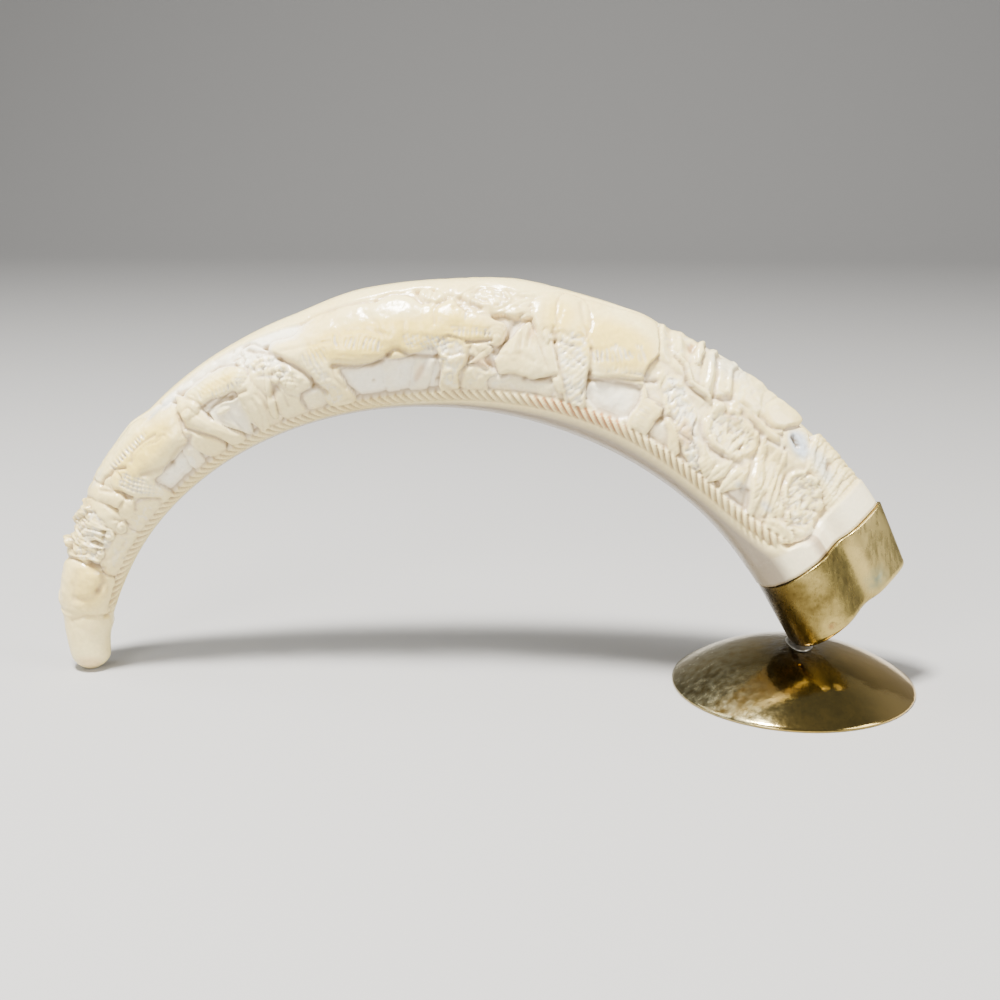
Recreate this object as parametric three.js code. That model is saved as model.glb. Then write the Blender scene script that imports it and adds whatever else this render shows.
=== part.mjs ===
// Carved warthog tooth standing on a brass collar and a domed brass foot.
// Millimetres. X runs from the tip of the tooth to the foot, Y away from the
// carved face, Z up. The arch of the tooth lies in the XZ plane.
import * as THREE from "three";

// The tooth's centre line: where it starts and how it bends
const TIP_X = -218.9;
const TIP_HEADING = 91.5;
const BEND_RADIUS_TIP = 82;
const BEND_RADIUS_MIDDLE = 126;
const BEND_RADIUS_COLLAR = 120.3;
const BEND_LENGTH = 299.8;
const BEND_LEAD = 3;
const LENGTH_TO_COLLAR = 298;
const LINE_STEP = 0.5;
const LINE_LENGTH = 330;

// The tooth's cross-section
const HALF_WIDTH_COLLAR = 20.4;
const WIDTH_TAPER = 0.714;
const WIDTH_TAPER_POWER = 2.37;
const COLLAR_SWELL = 0.6;
const DEPTH_SHARE_TIP = 0.88;
const DEPTH_SHARE_COLLAR = 0.735;
const LOBE_SKEW = 0.575;
const WAIST_DEPTH = 3.0;
const WAIST_ACROSS = 5;
const WAIST_WIDTH = 4;
const TIP_ROUNDING = 5;
const TIP_SHIFT = 1;
const TIP_SLIMMING = 0.7;
const TIP_FLAT = 0.32;

// The carved field
const FIELD_START = 19;
const FIELD_END = 290.5;
const FIELD_END_BULGE = 2.5;
const GROUND_DEPTH = 2.3;
const DEEP_GROUND_DEPTH = 2.9;
const BORDER_SLOPE = 1.4;
const EDGE_SOFTNESS = 0.55;
const MOAT_WIDTH = 0.9;
const MOAT_DEPTH = 0.5;

// The rope border
const ROPE_START = 24;
const ROPE_END = 286;
const ROPE_HALF_WIDTH = 1.9;
const ROPE_PITCH = 2.6;
const ROPE_LEAN = 0.5;
const ROPE_CREST = 0.15;
const ROPE_VALLEY = -0.95;
const STRIP_DEPTH = 0.5;

// The brass collar
const COLLAR_TOP = [4.3, 44.6];
const COLLAR_FOOT = [14.05, 25.55];
const COLLAR_TOP_HEADING = -54.4;
const COLLAR_FOOT_HEADING = -53.2;
const COLLAR_HALF_WIDTH_TOP = 21.4;
const COLLAR_HALF_WIDTH_FOOT = 20.4;
const COLLAR_LENGTH = 21.4;
const COLLAR_WALL = 1.0;
const COLLAR_FLOOR = 1.0;
const COLLAR_EDGE_BREAK = 0.35;
const FIT_GAP = 0.32;
const SHOULDER_GAP = 0.35;
const ROOT_SHARE = 0.93;

// The foot
const DISH_RADIUS = 36.2;
const DISH_HEIGHT = 12.6;
const DISH_SHEET = 0.9;
const DISH_RIM_HEIGHT = 0.8;
const DISH_LEDGE = 2.2;
const DISH_CENTRE_X = -1.1;
const DISH_CENTRE_Y = -1.5;

// The solder under the collar's lower edge
const SOLDER_LENGTH = 15;
const SOLDER_WIDTH = 8;
const SOLDER_HEIGHT = 1.5;
const SOLDER_X = 0.6;
const SOLDER_CLEARANCE = 0.4;

// How finely the surfaces are divided
const BORDER_TURN_LIMIT = 125;
const UNDERSIDE_TURN = -140;
const FIELD_LANES = 22;
const BACK_LANES = 8;
const INNER_LANES = 6;
const LANES = INNER_LANES + 2 + FIELD_LANES + BACK_LANES;
const FIELD_STEP = 2.45;
const BACK_STEP = 7;
const PATCH_LENGTH = 0.9;
const PATCH_WIDTH = 0.55;
const DISH_SIDES = 40;
const SOLDER_SIDES = 14;

const radians = (degrees) => (degrees * Math.PI) / 180;
const clamp = (value, low, high) => Math.min(high, Math.max(low, value));
const mix = (a, b, share) => a + (b - a) * share;

function smooth(low, high, value) {
  const t = clamp((value - low) / (high - low), 0, 1);
  return t * t * (3 - 2 * t);
}

// A smooth line through a few named places, given as [along, across]
function lineThrough(places) {
  return (along) => {
    const last = places.length - 1;
    if (along <= places[0][0]) return places[0][1];
    if (along >= places[last][0]) return places[last][1];
    const next = places.findIndex((place) => place[0] > along);
    const [a, b] = [places[next - 1], places[next]];
    const before = places[Math.max(next - 2, 0)];
    const after = places[Math.min(next + 1, last)];
    const span = b[0] - a[0];
    const slopeA = (span * (b[1] - before[1])) / (b[0] - before[0]);
    const slopeB = (span * (after[1] - a[1])) / (after[0] - a[0]);
    const t = (along - a[0]) / span;
    const [t2, t3] = [t * t, t * t * t];
    return (
      (2 * t3 - 3 * t2 + 1) * a[1] +
      (t3 - 2 * t2 + t) * slopeA +
      (3 * t2 - 2 * t3) * b[1] +
      (t3 - t2) * slopeB
    );
  };
}

// Centre line, worked out once by stepping along it
function bend(along) {
  const t = (along + BEND_LEAD) / BEND_LENGTH;
  const tip = 1 / BEND_RADIUS_TIP;
  const middle = 1 / BEND_RADIUS_MIDDLE;
  const collar = 1 / BEND_RADIUS_COLLAR;
  return (
    tip * (1 - t) * (1 - 2 * t) + 4 * middle * t * (1 - t) + collar * t * (2 * t - 1)
  );
}

function makeCentreLine() {
  const places = [];
  let heading = radians(TIP_HEADING);
  let x = TIP_X;
  let z = 0;
  for (let along = 0; along <= LINE_LENGTH; along += LINE_STEP) {
    places.push([x, z, heading]);
    const halfway = heading - (bend(along + LINE_STEP / 2) * LINE_STEP) / 2;
    x += Math.cos(halfway) * LINE_STEP;
    z += Math.sin(halfway) * LINE_STEP;
    heading -= bend(along + LINE_STEP / 2) * LINE_STEP;
  }
  return (along) => {
    const at = clamp(along / LINE_STEP, 0, places.length - 1.001);
    const i = Math.floor(at);
    return [0, 1, 2].map((k) => mix(places[i][k], places[i + 1][k], at - i));
  };
}

const centreLine = makeCentreLine();

function halfWidth(along) {
  const left = Math.max(1 - (along + BEND_LEAD) / BEND_LENGTH, 0);
  const swell = COLLAR_SWELL * smooth(265, 292, along);
  return HALF_WIDTH_COLLAR * (1 - WIDTH_TAPER * Math.pow(left, WIDTH_TAPER_POWER)) + swell;
}

function halfDepth(along) {
  return halfWidth(along) * mix(DEPTH_SHARE_TIP, DEPTH_SHARE_COLLAR, along / 300);
}

// The waisted outline shared by the tooth's root and the collar.
// turn 0 faces the carved side, turn 90 the outside of the arch.
function outline(turn, width, depth, skew, waist) {
  const across = width * Math.sin(turn);
  const facing = Math.cos(turn);
  const groove = waist * Math.exp(-(((across - WAIST_ACROSS) / WAIST_WIDTH) ** 2));
  const bulge = depth * Math.abs(facing) * (1 - skew * Math.sin(turn)) - groove;
  return [across, facing >= 0 ? -bulge : bulge];
}

function section(along, turn) {
  const ease = clamp(along / TIP_ROUNDING, 0, 1);
  const round = along < TIP_ROUNDING ? Math.max(TIP_FLAT, Math.sqrt(1 - (1 - ease) ** 2)) : 1;
  const skew = LOBE_SKEW * smooth(150, 292, along);
  const waist = WAIST_DEPTH * smooth(205, 292, along);
  const slim = TIP_SLIMMING * (1 - smooth(10, 22, along));
  const lean = TIP_SHIFT * (2 - smooth(2, 14, along) - smooth(16, 20, along));
  const [across, depth] = outline(
    turn,
    (halfWidth(along) - slim) * round,
    halfDepth(along) * round,
    skew,
    waist
  );
  return [across - lean, depth];
}

// Distance across the carved face, measured round a plain oval
function arcAcross(along, turn) {
  const [width, depth] = [halfWidth(along), halfDepth(along)];
  const steps = 16;
  let sum = 0;
  for (let i = 0; i <= steps; i += 1) {
    const angle = (turn * i) / steps;
    const weight = i === 0 || i === steps ? 1 : i % 2 ? 4 : 2;
    sum += weight * Math.hypot(width * Math.cos(angle), depth * Math.sin(angle));
  }
  return (sum * turn) / steps / 3;
}

function turnFor(along, across) {
  let low = -Math.PI;
  let high = Math.PI;
  for (let i = 0; i < 30; i += 1) {
    const middle = (low + high) / 2;
    if (arcAcross(along, middle) < across) low = middle;
    else high = middle;
  }
  return (low + high) / 2;
}

// Carving shapes. Each gives how far a place lies inside it.
function oval(along, across, halfLength, halfHeight, turn = 0) {
  const [c, s] = [Math.cos(radians(turn)), Math.sin(radians(turn))];
  return (x, y) => {
    const u = ((x - along) * c + (y - across) * s) / halfLength;
    const v = ((y - across) * c - (x - along) * s) / halfHeight;
    const size = Math.hypot(u, v);
    const small = Math.min(halfLength, halfHeight);
    if (size < 0.2) return small * (1 - size);
    const slope = Math.hypot(u / halfLength, v / halfHeight) / size;
    return Math.min((1 - size) / slope, small);
  };
}

// A run of tapering strokes through [along, across, radius] stations
function limb(...stations) {
  return (x, y) => {
    let best = -99;
    for (let i = 1; i < stations.length; i += 1) {
      const [ax, ay, ar] = stations[i - 1];
      const [bx, by, br] = stations[i];
      const [dx, dy] = [bx - ax, by - ay];
      const t = clamp(((x - ax) * dx + (y - ay) * dy) / (dx * dx + dy * dy), 0, 1);
      const away = Math.hypot(x - ax - dx * t, y - ay - dy * t);
      best = Math.max(best, mix(ar, br, t) - away);
    }
    return best;
  };
}

// A flat shape with straight sides, corners listed round it
function plate(...corners) {
  return (x, y) => {
    let inside = 99;
    let area = 0;
    corners.forEach(([ax, ay], i) => {
      const [bx, by] = corners[(i + 1) % corners.length];
      area += ax * by - bx * ay;
    });
    const side = area > 0 ? 1 : -1;
    corners.forEach(([ax, ay], i) => {
      const [bx, by] = corners[(i + 1) % corners.length];
      const run = Math.hypot(bx - ax, by - ay);
      const off = (side * ((bx - ax) * (y - ay) - (by - ay) * (x - ax))) / run;
      inside = Math.min(inside, off);
    });
    return inside;
  };
}

// A figure rises from its edge height to its crown over the given roundness
function figure(name, edge, crown, roundness, ...shapes) {
  return { name, edge, crown, roundness, shapes };
}

function joined(shapes, x, y) {
  const blend = 1.2;
  return shapes.reduce((sum, shape) => {
    const next = shape(x, y);
    const t = clamp(0.5 + (next - sum) / blend / 2, 0, 1);
    return mix(sum, next, t) + blend * t * (1 - t);
  }, -99);
}

function layOn(height, item, x, y) {
  const inside = joined(item.shapes, x, y);
  if (inside < -3) return height;
  const cover = smooth(-EDGE_SOFTNESS, EDGE_SOFTNESS, inside);
  const climb = Math.sqrt(1 - (1 - clamp(inside / item.roundness, 0, 1)) ** 2);
  const moat = MOAT_DEPTH * Math.exp(-(((inside + MOAT_WIDTH) / MOAT_WIDTH) ** 2));
  return mix(height - moat, mix(item.edge, item.crown, climb), cover);
}

// Tip end: a rounded head with a boss, then a bundle of mane strands
function tipHead() {
  return [
    figure("head", -1.0, 0.5, 5, oval(28, 2, 9.6, 10), oval(27, -6, 8, 5)),
    figure("boss recess", -0.5, -1.3, 2, oval(30.3, -0.8, 6.2, 4.7)),
    figure("boss", -0.9, 0.3, 3, oval(30.8, -0.2, 4.8, 3.5)),
  ];
}

function mane() {
  const strands = [];
  for (let i = 0; i < 5; i += 1) {
    const start = 37.5 + i * 2.7;
    const top = limb([start, 14, 1.0], [start + 1.6, 5, 1.4], [start + 5, -4, 1.1]);
    strands.push(figure("strand", -1.2, 0.4 - i * 0.1, 1.2, top));
  }
  return [
    figure("mane cloth", -1.8, -0.7, 4, oval(47, -7, 10, 4.5)),
    ...strands,
    figure("curls", -1.4, -0.2, 1.5, oval(48, -1.5, 2.2, 2), oval(53, -3.5, 2.4, 2.4)),
    figure("mane spike", -0.4, 2.2, 1.4, limb([38.4, 17, 1.1], [39, 11, 1.3])),
    figure("rear spike", -0.6, 1.2, 1.4, limb([44, 16, 1], [47.5, 12, 1.2], [51.5, 5.5, 0.8])),
  ];
}

// A broad smooth beast with its head towards the tip
function broadBeast() {
  return [
    figure("rock under the head", -2.0, -0.8, 3, oval(61, -9, 7, 4.5)),
    figure("far hind leg", -2.2, -1.4, 1.5, limb([88, -1, 2.4], [85.5, -10, 2])),
    figure("foreleg", -1.3, -0.4, 2, limb([66.5, 5, 3.4], [68, -2, 2.8], [70, -8, 2.4])),
    figure("body", -1.2, 0.2, 8, oval(77, 7.5, 15.5, 10.2), oval(64, 13, 10, 6)),
    figure("face", -1.0, 0.1, 2.5, limb([56.5, 13, 2.2], [58.5, 7, 3], [60.5, 1, 2.6])),
    figure("ear", -0.7, 0.4, 2, oval(64.5, 11, 5.2, 2.8, -15)),
    figure("lower belly", -1.2, -0.2, 3, limb([74, 2, 3], [86, 1.5, 3.2])),
  ];
}

// A big cat on a branch
function bigCat() {
  return [
    figure("ledge behind", -1.0, -0.4, 3, limb([90, 14.5, 3], [104, 15.2, 3.2], [129, 14.6, 3.2])),
    figure("branch", -1.8, -0.5, 1.6, limb([92.5, 4, 1.5], [96.5, -4, 1.9], [100, -11, 1.7])),
    figure(
      "far legs", -2.6, -1.8, 1.4,
      limb([104.5, 0, 1.2], [105, -7, 1]),
      limb([107.5, 0, 1.2], [107, -7, 1])
    ),
    figure("foreleg", -1.6, -0.6, 1.6, limb([99.5, 4, 2], [100.5, -2, 1.5], [104, -10, 1.5])),
    figure("hind leg", -1.6, -0.6, 1.8, limb([112, 4, 2.6], [112, -3, 1.7], [109.5, -11, 1.5])),
    figure("cat body", -1.2, 0.1, 4.5, limb([98, 7.5, 3.6], [104, 8.2, 4.6], [110.5, 7.2, 5])),
    figure(
      "cat head", -0.9, 0.2, 2.6,
      oval(95.8, 7, 3.2, 3.4),
      limb([94, 11.5, 1], [95, 8.5, 1.4])
    ),
  ];
}

// A knotted tree trunk with a rock at its foot
function treeTrunk() {
  const knots = [];
  const rows = 5;
  for (let i = 0; i < rows * 3; i += 1) {
    const row = Math.floor(i / 3);
    const along = 115 + row * 1.7 + (i % 3) * 2.6 + (row % 2) * 0.8;
    const across = 11 - row * 2.7 - (i % 3) * 0.5;
    knots.push(figure("knot", -1.2, -0.1 - (i % 2) * 0.3, 1.1, oval(along, across, 1.25, 1.15)));
  }
  return [
    figure("trunk", -1.8, -0.9, 4, limb([117, 13, 2.4], [120, 5, 4.8], [124, -6, 6.4])),
    figure("rock", -1.5, -0.5, 4, oval(126, -3, 5.6, 5.2)),
    figure("rock foot", -1.9, -1.0, 2, oval(130, -9, 4.6, 3.2)),
    figure("leaning stem", -1.4, -0.3, 1, limb([116, -9, 1.2], [120.2, 4, 0.9])),
    ...knots,
  ];
}

// The rhinoceros walks towards the collar, at the top of the arch
function rhinoceros() {
  return [
    figure(
      "far legs", -2.5, -1.7, 1.6,
      limb([155, 0, 2.4], [154, -12.5, 1.8]),
      limb([165, 0, 2.6], [161.5, -11, 2])
    ),
    figure("hind leg", -1.4, -0.4, 2.4, limb([135, 4, 5], [136.5, -3, 3.6], [138.5, -12.6, 3.4])),
    figure("foreleg", -1.3, -0.2, 2.6, limb([173.5, 3, 5], [173.8, -4, 3.9], [173, -9.5, 3.5])),
    figure("hind part", -1.2, 0.2, 7, oval(138.5, 8.5, 8.5, 8.4), oval(147, 8, 10, 9.4)),
    figure("shoulder", -1.1, 0.4, 7, oval(157.5, 9.3, 9, 10.1)),
    figure(
      "ears", -0.8, 0.3, 1.2,
      oval(165.8, 17.6, 1.9, 2.1),
      limb([168.5, 19.8, 0.6], [169, 16, 1.5])
    ),
    figure("jaw", -1.3, -0.6, 1.5, limb([172, 2, 3], [179, 1.2, 2], [183, 1.6, 1.1])),
    figure("neck and cheek", -1.0, 0.3, 5, limb([164, 8.5, 7], [171, 9, 6.6])),
    figure("head", -0.9, 0.4, 3.6, limb([172, 9.8, 5.6], [179, 8, 3.8], [184.3, 6.2, 3.4])),
    figure("nostril", -0.2, -0.7, 0.9, oval(184.6, 6, 1.5, 1.2)),
  ];
}

// Above the snout a ring of leaves, below it a rock and a forked twig
function snoutLeaves() {
  return [
    figure("leaf bed", -1.5, -1.0, 2, oval(182, 16, 8.5, 5.4), oval(190, 15.5, 4.5, 4)),
    figure("ring", -0.8, -0.1, 1.2, oval(181.4, 16.2, 5.9, 3.7)),
    figure("ring hollow", -0.6, -1.4, 1, oval(181.4, 16.2, 4.2, 2.2)),
    figure("ring heart", -1.1, -0.5, 1, oval(181.2, 16.2, 2.8, 1.1)),
    figure(
      "upper strand", -1.0, -0.3, 0.8,
      limb([186.5, 12.8, 0.9], [190, 16, 1], [193.5, 18.6, 0.8])
    ),
    figure(
      "lower strand", -1.0, -0.3, 0.8,
      limb([183, 11.6, 0.8], [189, 12.4, 1], [192.5, 15.5, 0.8])
    ),
    figure("rock", -1.8, -0.9, 3, oval(181.3, -8, 6.2, 4.6)),
    figure(
      "twig", -1.6, -0.7, 0.8,
      limb([178.8, 1.5, 0.8], [182.6, -3.2, 0.9]),
      limb([182.8, 1.2, 0.7], [179.5, -3, 0.8])
    ),
  ];
}

// A pointed hill with a draped lower edge, in front of the elephant's trunk
function pointedHill() {
  return [
    figure("slope below", -2.1, -1.5, 2, limb([189, -8.5, 2.6], [204, -8, 2.8])),
    figure(
      "hill", -1.2, -0.6, 3,
      plate([191.5, 11.8], [187.6, 5], [184.6, 1], [187, -5.3], [197, -5], [203.2, -2])
    ),
    figure(
      "hill folds", -0.7, -0.3, 0.8,
      limb([191.4, 9.5, 0.9], [191, 3, 1.2]),
      limb([193.6, 8, 0.7], [197, 0, 1])
    ),
  ];
}

// The elephant walks towards the tip
function elephant() {
  return [
    figure("belly hollow", -2.4, -3.1, 2.5, oval(221, -2.2, 8.4, 6.6)),
    figure(
      "trunk", -1.2, -0.4, 1.8,
      limb([196, 14, 3.2], [198, 7, 2.4], [201.5, 1, 1.7], [204.6, -3.4, 1.2])
    ),
    figure("hind leg", -1.3, -0.3, 2.4, limb([230, 8, 4.6], [231.8, 0, 3.2], [231, -8.2, 2.9])),
    figure(
      "foreleg", -1.2, -0.1, 2.4,
      limb([205.6, 6.5, 5], [207.6, 0.5, 3.8], [210.6, -8.6, 2.3])
    ),
    figure("belly band", -1.6, -0.6, 1.5, limb([214.5, 2.4, 1.5], [228, 6.2, 2.2])),
    figure("body", -1.0, 0.3, 8, oval(214, 13.8, 15, 10.6, -6), oval(225, 12.5, 8, 8)),
    figure("head", -0.8, 0.3, 4, oval(198.8, 15.2, 6, 7.8, 10)),
    figure("ear", -0.5, 0.5, 3, oval(204, 14.6, 5, 8.4, 12)),
    figure("tusk", -0.8, 0.0, 0.7, limb([199, 8.6, 0.9], [200.6, 4.6, 0.6])),
  ];
}

// A branch crossing behind the elephant, and bark plates along the back
function branchAndPlates() {
  const plates = [];
  for (let i = 0; i < 5; i += 1) {
    const along = 227 + i * 5.0;
    const foot = limb(
      [along - 1.2, 26 - (i % 2) * 1.4, 1.9],
      [along + 1.4, 17, 2.2],
      [along + 3.4, 12.5, 1.8]
    );
    plates.push(figure("bark plate", -1.7, -0.5 - (i % 2) * 0.5, 1.6, foot));
  }
  return [
    figure("far rock", -2.1, -1.4, 2, oval(239.5, -6, 5, 3.4)),
    figure("branch", -1.6, -0.5, 1.6, limb([234, 6, 2.4], [241, -1, 2.6], [250.5, -9.5, 1.7])),
    ...plates,
    figure("back spike", -0.8, 0.5, 1, limb([235.6, 28, 0.8], [236.2, 21, 1.3])),
    figure(
      "ledge", -1.0, 0.0, 0.9,
      limb([230.8, 16, 0.9], [235.4, 14, 1], [238.6, 10.2, 1]),
      limb([238.6, 10.2, 1], [243, 10, 1], [246.4, 8.2, 0.9])
    ),
  ];
}

// A flower with rings of petals, seen face on
function flower(along, across, halfLength, halfHeight, turn) {
  const rings = [];
  for (let i = 0; i < 3; i += 1) {
    const size = 1 - i * 0.31;
    const shape = oval(along, across, halfLength * size, halfHeight * size, turn);
    const hollow = oval(along, across, halfLength * size - 1.2, halfHeight * size - 1, turn);
    rings.push(figure("petal ring", -1.3 + i * 0.2, -0.4 + i * 0.15, 1.1, shape));
    if (i < 2) rings.push(figure("petal hollow", -0.8, -1.3 + i * 0.2, 0.8, hollow));
  }
  return rings;
}

function leafBlade(fromAlong, fromAcross, toAlong, toAcross, width) {
  const middle = [mix(fromAlong, toAlong, 0.5), mix(fromAcross, toAcross, 0.5), width];
  return limb([fromAlong, fromAcross, 0.6], middle, [toAlong, toAcross, 0.7]);
}

// Flowers and leaves fill the carving next to the collar
function foliage() {
  return [
    figure(
      "broad spike leaf", -1.4, -0.2, 2,
      limb([251.8, 28, 0.6], [251.6, 22, 2.6], [253, 14, 3.6])
    ),
    figure("oval leaf", -1.4, -0.4, 2, oval(263.3, 18.2, 5.2, 4.6, 25)),
    figure("thick growth", -1.7, -1.0, 2, oval(271, 15.5, 5, 4.6)),
    ...flower(254.5, 4.2, 8.4, 5.4, -4),
    figure("left low leaf", -1.6, -0.6, 1.4, oval(258, -6.5, 2.4, 4.2, -12)),
    figure("right low leaf", -1.6, -0.6, 1.6, oval(263.5, -5.4, 2.9, 5, -14)),
    figure("long leaf", -1.4, -0.4, 1.3, leafBlade(264, 8, 274, -9.5, 2.2)),
    figure("second long leaf", -1.3, -0.3, 1.3, leafBlade(268.5, 10, 279.5, -9, 2.3)),
    figure("tall blade", -1.2, 0.1, 1.2, leafBlade(274.6, 27, 280.5, 12, 1.9)),
    figure("middle blade", -1.2, 0.0, 1.2, leafBlade(279.4, 28, 284, 12, 1.7)),
    figure("near blade", -1.3, -0.2, 1.2, leafBlade(284.4, 27, 286.6, 10, 1.8)),
    figure("last blade", -1.3, -0.4, 1.2, leafBlade(288.6, 27, 289, 8, 1.5)),
    ...flower(282.6, 4.6, 8.6, 5.6, -38),
    figure("lens leaf", -1.4, -0.4, 1.4, oval(283.2, -5.6, 5.2, 2.7, 10)),
    figure("edge leaf", -1.5, -0.7, 1.4, leafBlade(276, -1.5, 291.5, 0.5, 2)),
  ];
}

const FIGURES = [
  ...tipHead(),
  ...mane(),
  ...broadBeast(),
  ...bigCat(),
  ...treeTrunk(),
  ...rhinoceros(),
  ...snoutLeaves(),
  ...pointedHill(),
  ...elephant(),
  ...branchAndPlates(),
  ...foliage(),
];

const ropeLine = lineThrough([
  [20, -10.5], [50, -13], [75, -14.5], [100, -15.6], [130, -16.6], [160, -16.4],
  [176, -14.6], [205, -12], [225, -11.3], [260, -12.7], [275, -11.6], [290, -7],
]);

const upperBorder = lineThrough([
  [18, 14], [60, 19], [90, 17], [110, 18], [128, 17], [134, 16], [145, 17.8], [157, 19.6],
  [167, 20.2], [173, 16.4], [180, 22.4], [192, 19.2], [200, 24.4], [216, 26.5], [228, 34], [300, 36],
]);

// Height of the worked surface above the tooth's own skin
function backLevel(along, across) {
  const worn = -1.6 * smooth(76, 84, along) * (1 - smooth(128, 150, along));
  const full = 1.1 * Math.exp(-(((along - 187) / 12) ** 2));
  return (worn + full) * smooth(4, 14, across) * (1 - smooth(26, 40, across));
}

function ropeHeight(along, offset) {
  const round = Math.sqrt(Math.max(1 - (offset / ROPE_HALF_WIDTH) ** 2, 0));
  const strand = Math.abs(Math.sin((Math.PI * (along - ROPE_START + ROPE_LEAN * offset)) / ROPE_PITCH));
  return mix(ROPE_VALLEY, ROPE_CREST, round * (0.25 + 0.75 * strand));
}

function relief(along, across) {
  const rope = ropeLine(along);
  const bulge = FIELD_END_BULGE * Math.exp(-(((across - 1) / 5) ** 2));
  const field =
    smooth(-0.8, 0.8, across - rope) *
    smooth(0, BORDER_SLOPE, upperBorder(along) - across) *
    smooth(-0.4, 1.2, along - FIELD_START) *
    smooth(-0.2, 1.0, FIELD_END + bulge - along);
  let carved = 0;
  if (field > 0) {
    const deeper = smooth(215, 250, along) * smooth(8, 18, across);
    carved = -mix(GROUND_DEPTH, DEEP_GROUND_DEPTH, deeper);
    FIGURES.forEach((item) => {
      carved = layOn(carved, item, along, across);
    });
  }
  const offset = across - rope;
  const onRope =
    smooth(ROPE_START - 2, ROPE_START, along) *
    (1 - smooth(ROPE_END, ROPE_END + 3, along)) *
    (1 - smooth(ROPE_HALF_WIDTH - 0.4, ROPE_HALF_WIDTH + 0.3, Math.abs(offset)));
  const strip =
    smooth(-7, -2.2, offset) *
    (1 - smooth(-2.2, -1.5, offset)) *
    smooth(30, 60, along) *
    (1 - smooth(280, 290, along));
  const worked = mix(carved * field, ropeHeight(along, offset), onRope);
  return backLevel(along, across) + worked - STRIP_DEPTH * strip;
}

// A place on the tooth, moved out from its skin by the given height
function toothPoint(along, turn, height) {
  const [x, z, heading] = centreLine(along);
  const [across, depth] = section(along, turn);
  const [before, after] = [section(along, turn - 0.01), section(along, turn + 0.01)];
  const run = Math.hypot(after[0] - before[0], after[1] - before[1]) || 1;
  const outAcross = (after[1] - before[1]) / run;
  const outDepth = -(after[0] - before[0]) / run;
  const n = across + outAcross * height;
  const y = depth + outDepth * height;
  const place = [x - Math.sin(heading) * n, y, z + Math.cos(heading) * n];
  if (along === 0) place[2] = 0;
  return new THREE.Vector3(place[0], place[1], Math.max(place[2], 0));
}

// Shells are gathered as shared corners and faces, then checked for outside
function shell() {
  const corners = [];
  const faces = [];
  const corner = (place) => corners.push(place) - 1;
  const face = (a, b, c) => {
    if (a !== b && b !== c && a !== c) faces.push([a, b, c]);
  };
  const finish = () => {
    let volume = 0;
    faces.forEach(([a, b, c]) => {
      volume += corners[a].dot(corners[b].clone().cross(corners[c]));
    });
    const geometry = new THREE.BufferGeometry();
    const flat = corners.flatMap((place) => [place.x, place.y, place.z]);
    const order = faces.flatMap(([a, b, c]) => (volume > 0 ? [a, b, c] : [a, c, b]));
    geometry.setAttribute("position", new THREE.Float32BufferAttribute(flat, 3));
    geometry.setIndex(order);
    return geometry;
  };
  return { corner, corners, face, finish };
}

// Joins two long rows of corners that have their own spacing
function stitch(body, left, right) {
  let i = 0;
  let j = 0;
  while (i < left.length - 1 || j < right.length - 1) {
    const nextLeft = i < left.length - 1 ? left[i + 1].along : Infinity;
    const nextRight = j < right.length - 1 ? right[j + 1].along : Infinity;
    if (nextLeft <= nextRight) {
      body.face(left[i].corner, left[i + 1].corner, right[j].corner);
      i += 1;
    } else {
      body.face(left[i].corner, right[j + 1].corner, right[j].corner);
      j += 1;
    }
  }
}

// The collar's outline at a share of its height, grown or shrunk all round
function collarPoint(share, turn, inset) {
  const half = mix(COLLAR_HALF_WIDTH_TOP, COLLAR_HALF_WIDTH_FOOT, share);
  const heading = radians(mix(COLLAR_TOP_HEADING, COLLAR_FOOT_HEADING, share));
  const depth = half * DEPTH_SHARE_COLLAR + 0.4;
  const at = (angle) => outline(angle, half, depth, LOBE_SKEW, WAIST_DEPTH);
  const [before, here, after] = [at(turn - 0.01), at(turn), at(turn + 0.01)];
  const run = Math.hypot(after[0] - before[0], after[1] - before[1]);
  const n = here[0] - (inset * (after[1] - before[1])) / run;
  const y = here[1] + (inset * (after[0] - before[0])) / run;
  const x = mix(COLLAR_TOP[0], COLLAR_FOOT[0], share) - Math.sin(heading) * n;
  const z = mix(COLLAR_TOP[1], COLLAR_FOOT[1], share) + Math.cos(heading) * n;
  return new THREE.Vector3(x, y, z);
}

// How far a place lies past the collar's top rim, along the collar
function pastRim(place, rimCentre, rimHeading) {
  const heading = radians(rimHeading);
  const dx = place.x - rimCentre[0];
  const dz = place.z - rimCentre[1];
  return dx * Math.cos(heading) + dz * Math.sin(heading);
}

function alongWhere(turn, past, rimCentre, rimHeading) {
  let low = 270;
  let high = 330;
  for (let i = 0; i < 30; i += 1) {
    const middle = (low + high) / 2;
    const place = toothPoint(middle, turn, 0);
    if (pastRim(place, rimCentre, rimHeading) < past) low = middle;
    else high = middle;
  }
  return (low + high) / 2;
}

// The part of the tooth seated in the collar follows the collar's own walls
function seatPoint(share, turn) {
  return collarPoint(share, turn, COLLAR_WALL + FIT_GAP);
}

// Closes a ring of corners with a fan round their middle
function closeRing(body, ring) {
  const centre = new THREE.Vector3();
  ring.forEach((index) => centre.addScaledVector(body.corners[index], 1 / ring.length));
  const middle = body.corner(centre);
  ring.forEach((index, i) => body.face(index, ring[(i + 1) % ring.length], middle));
}

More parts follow.
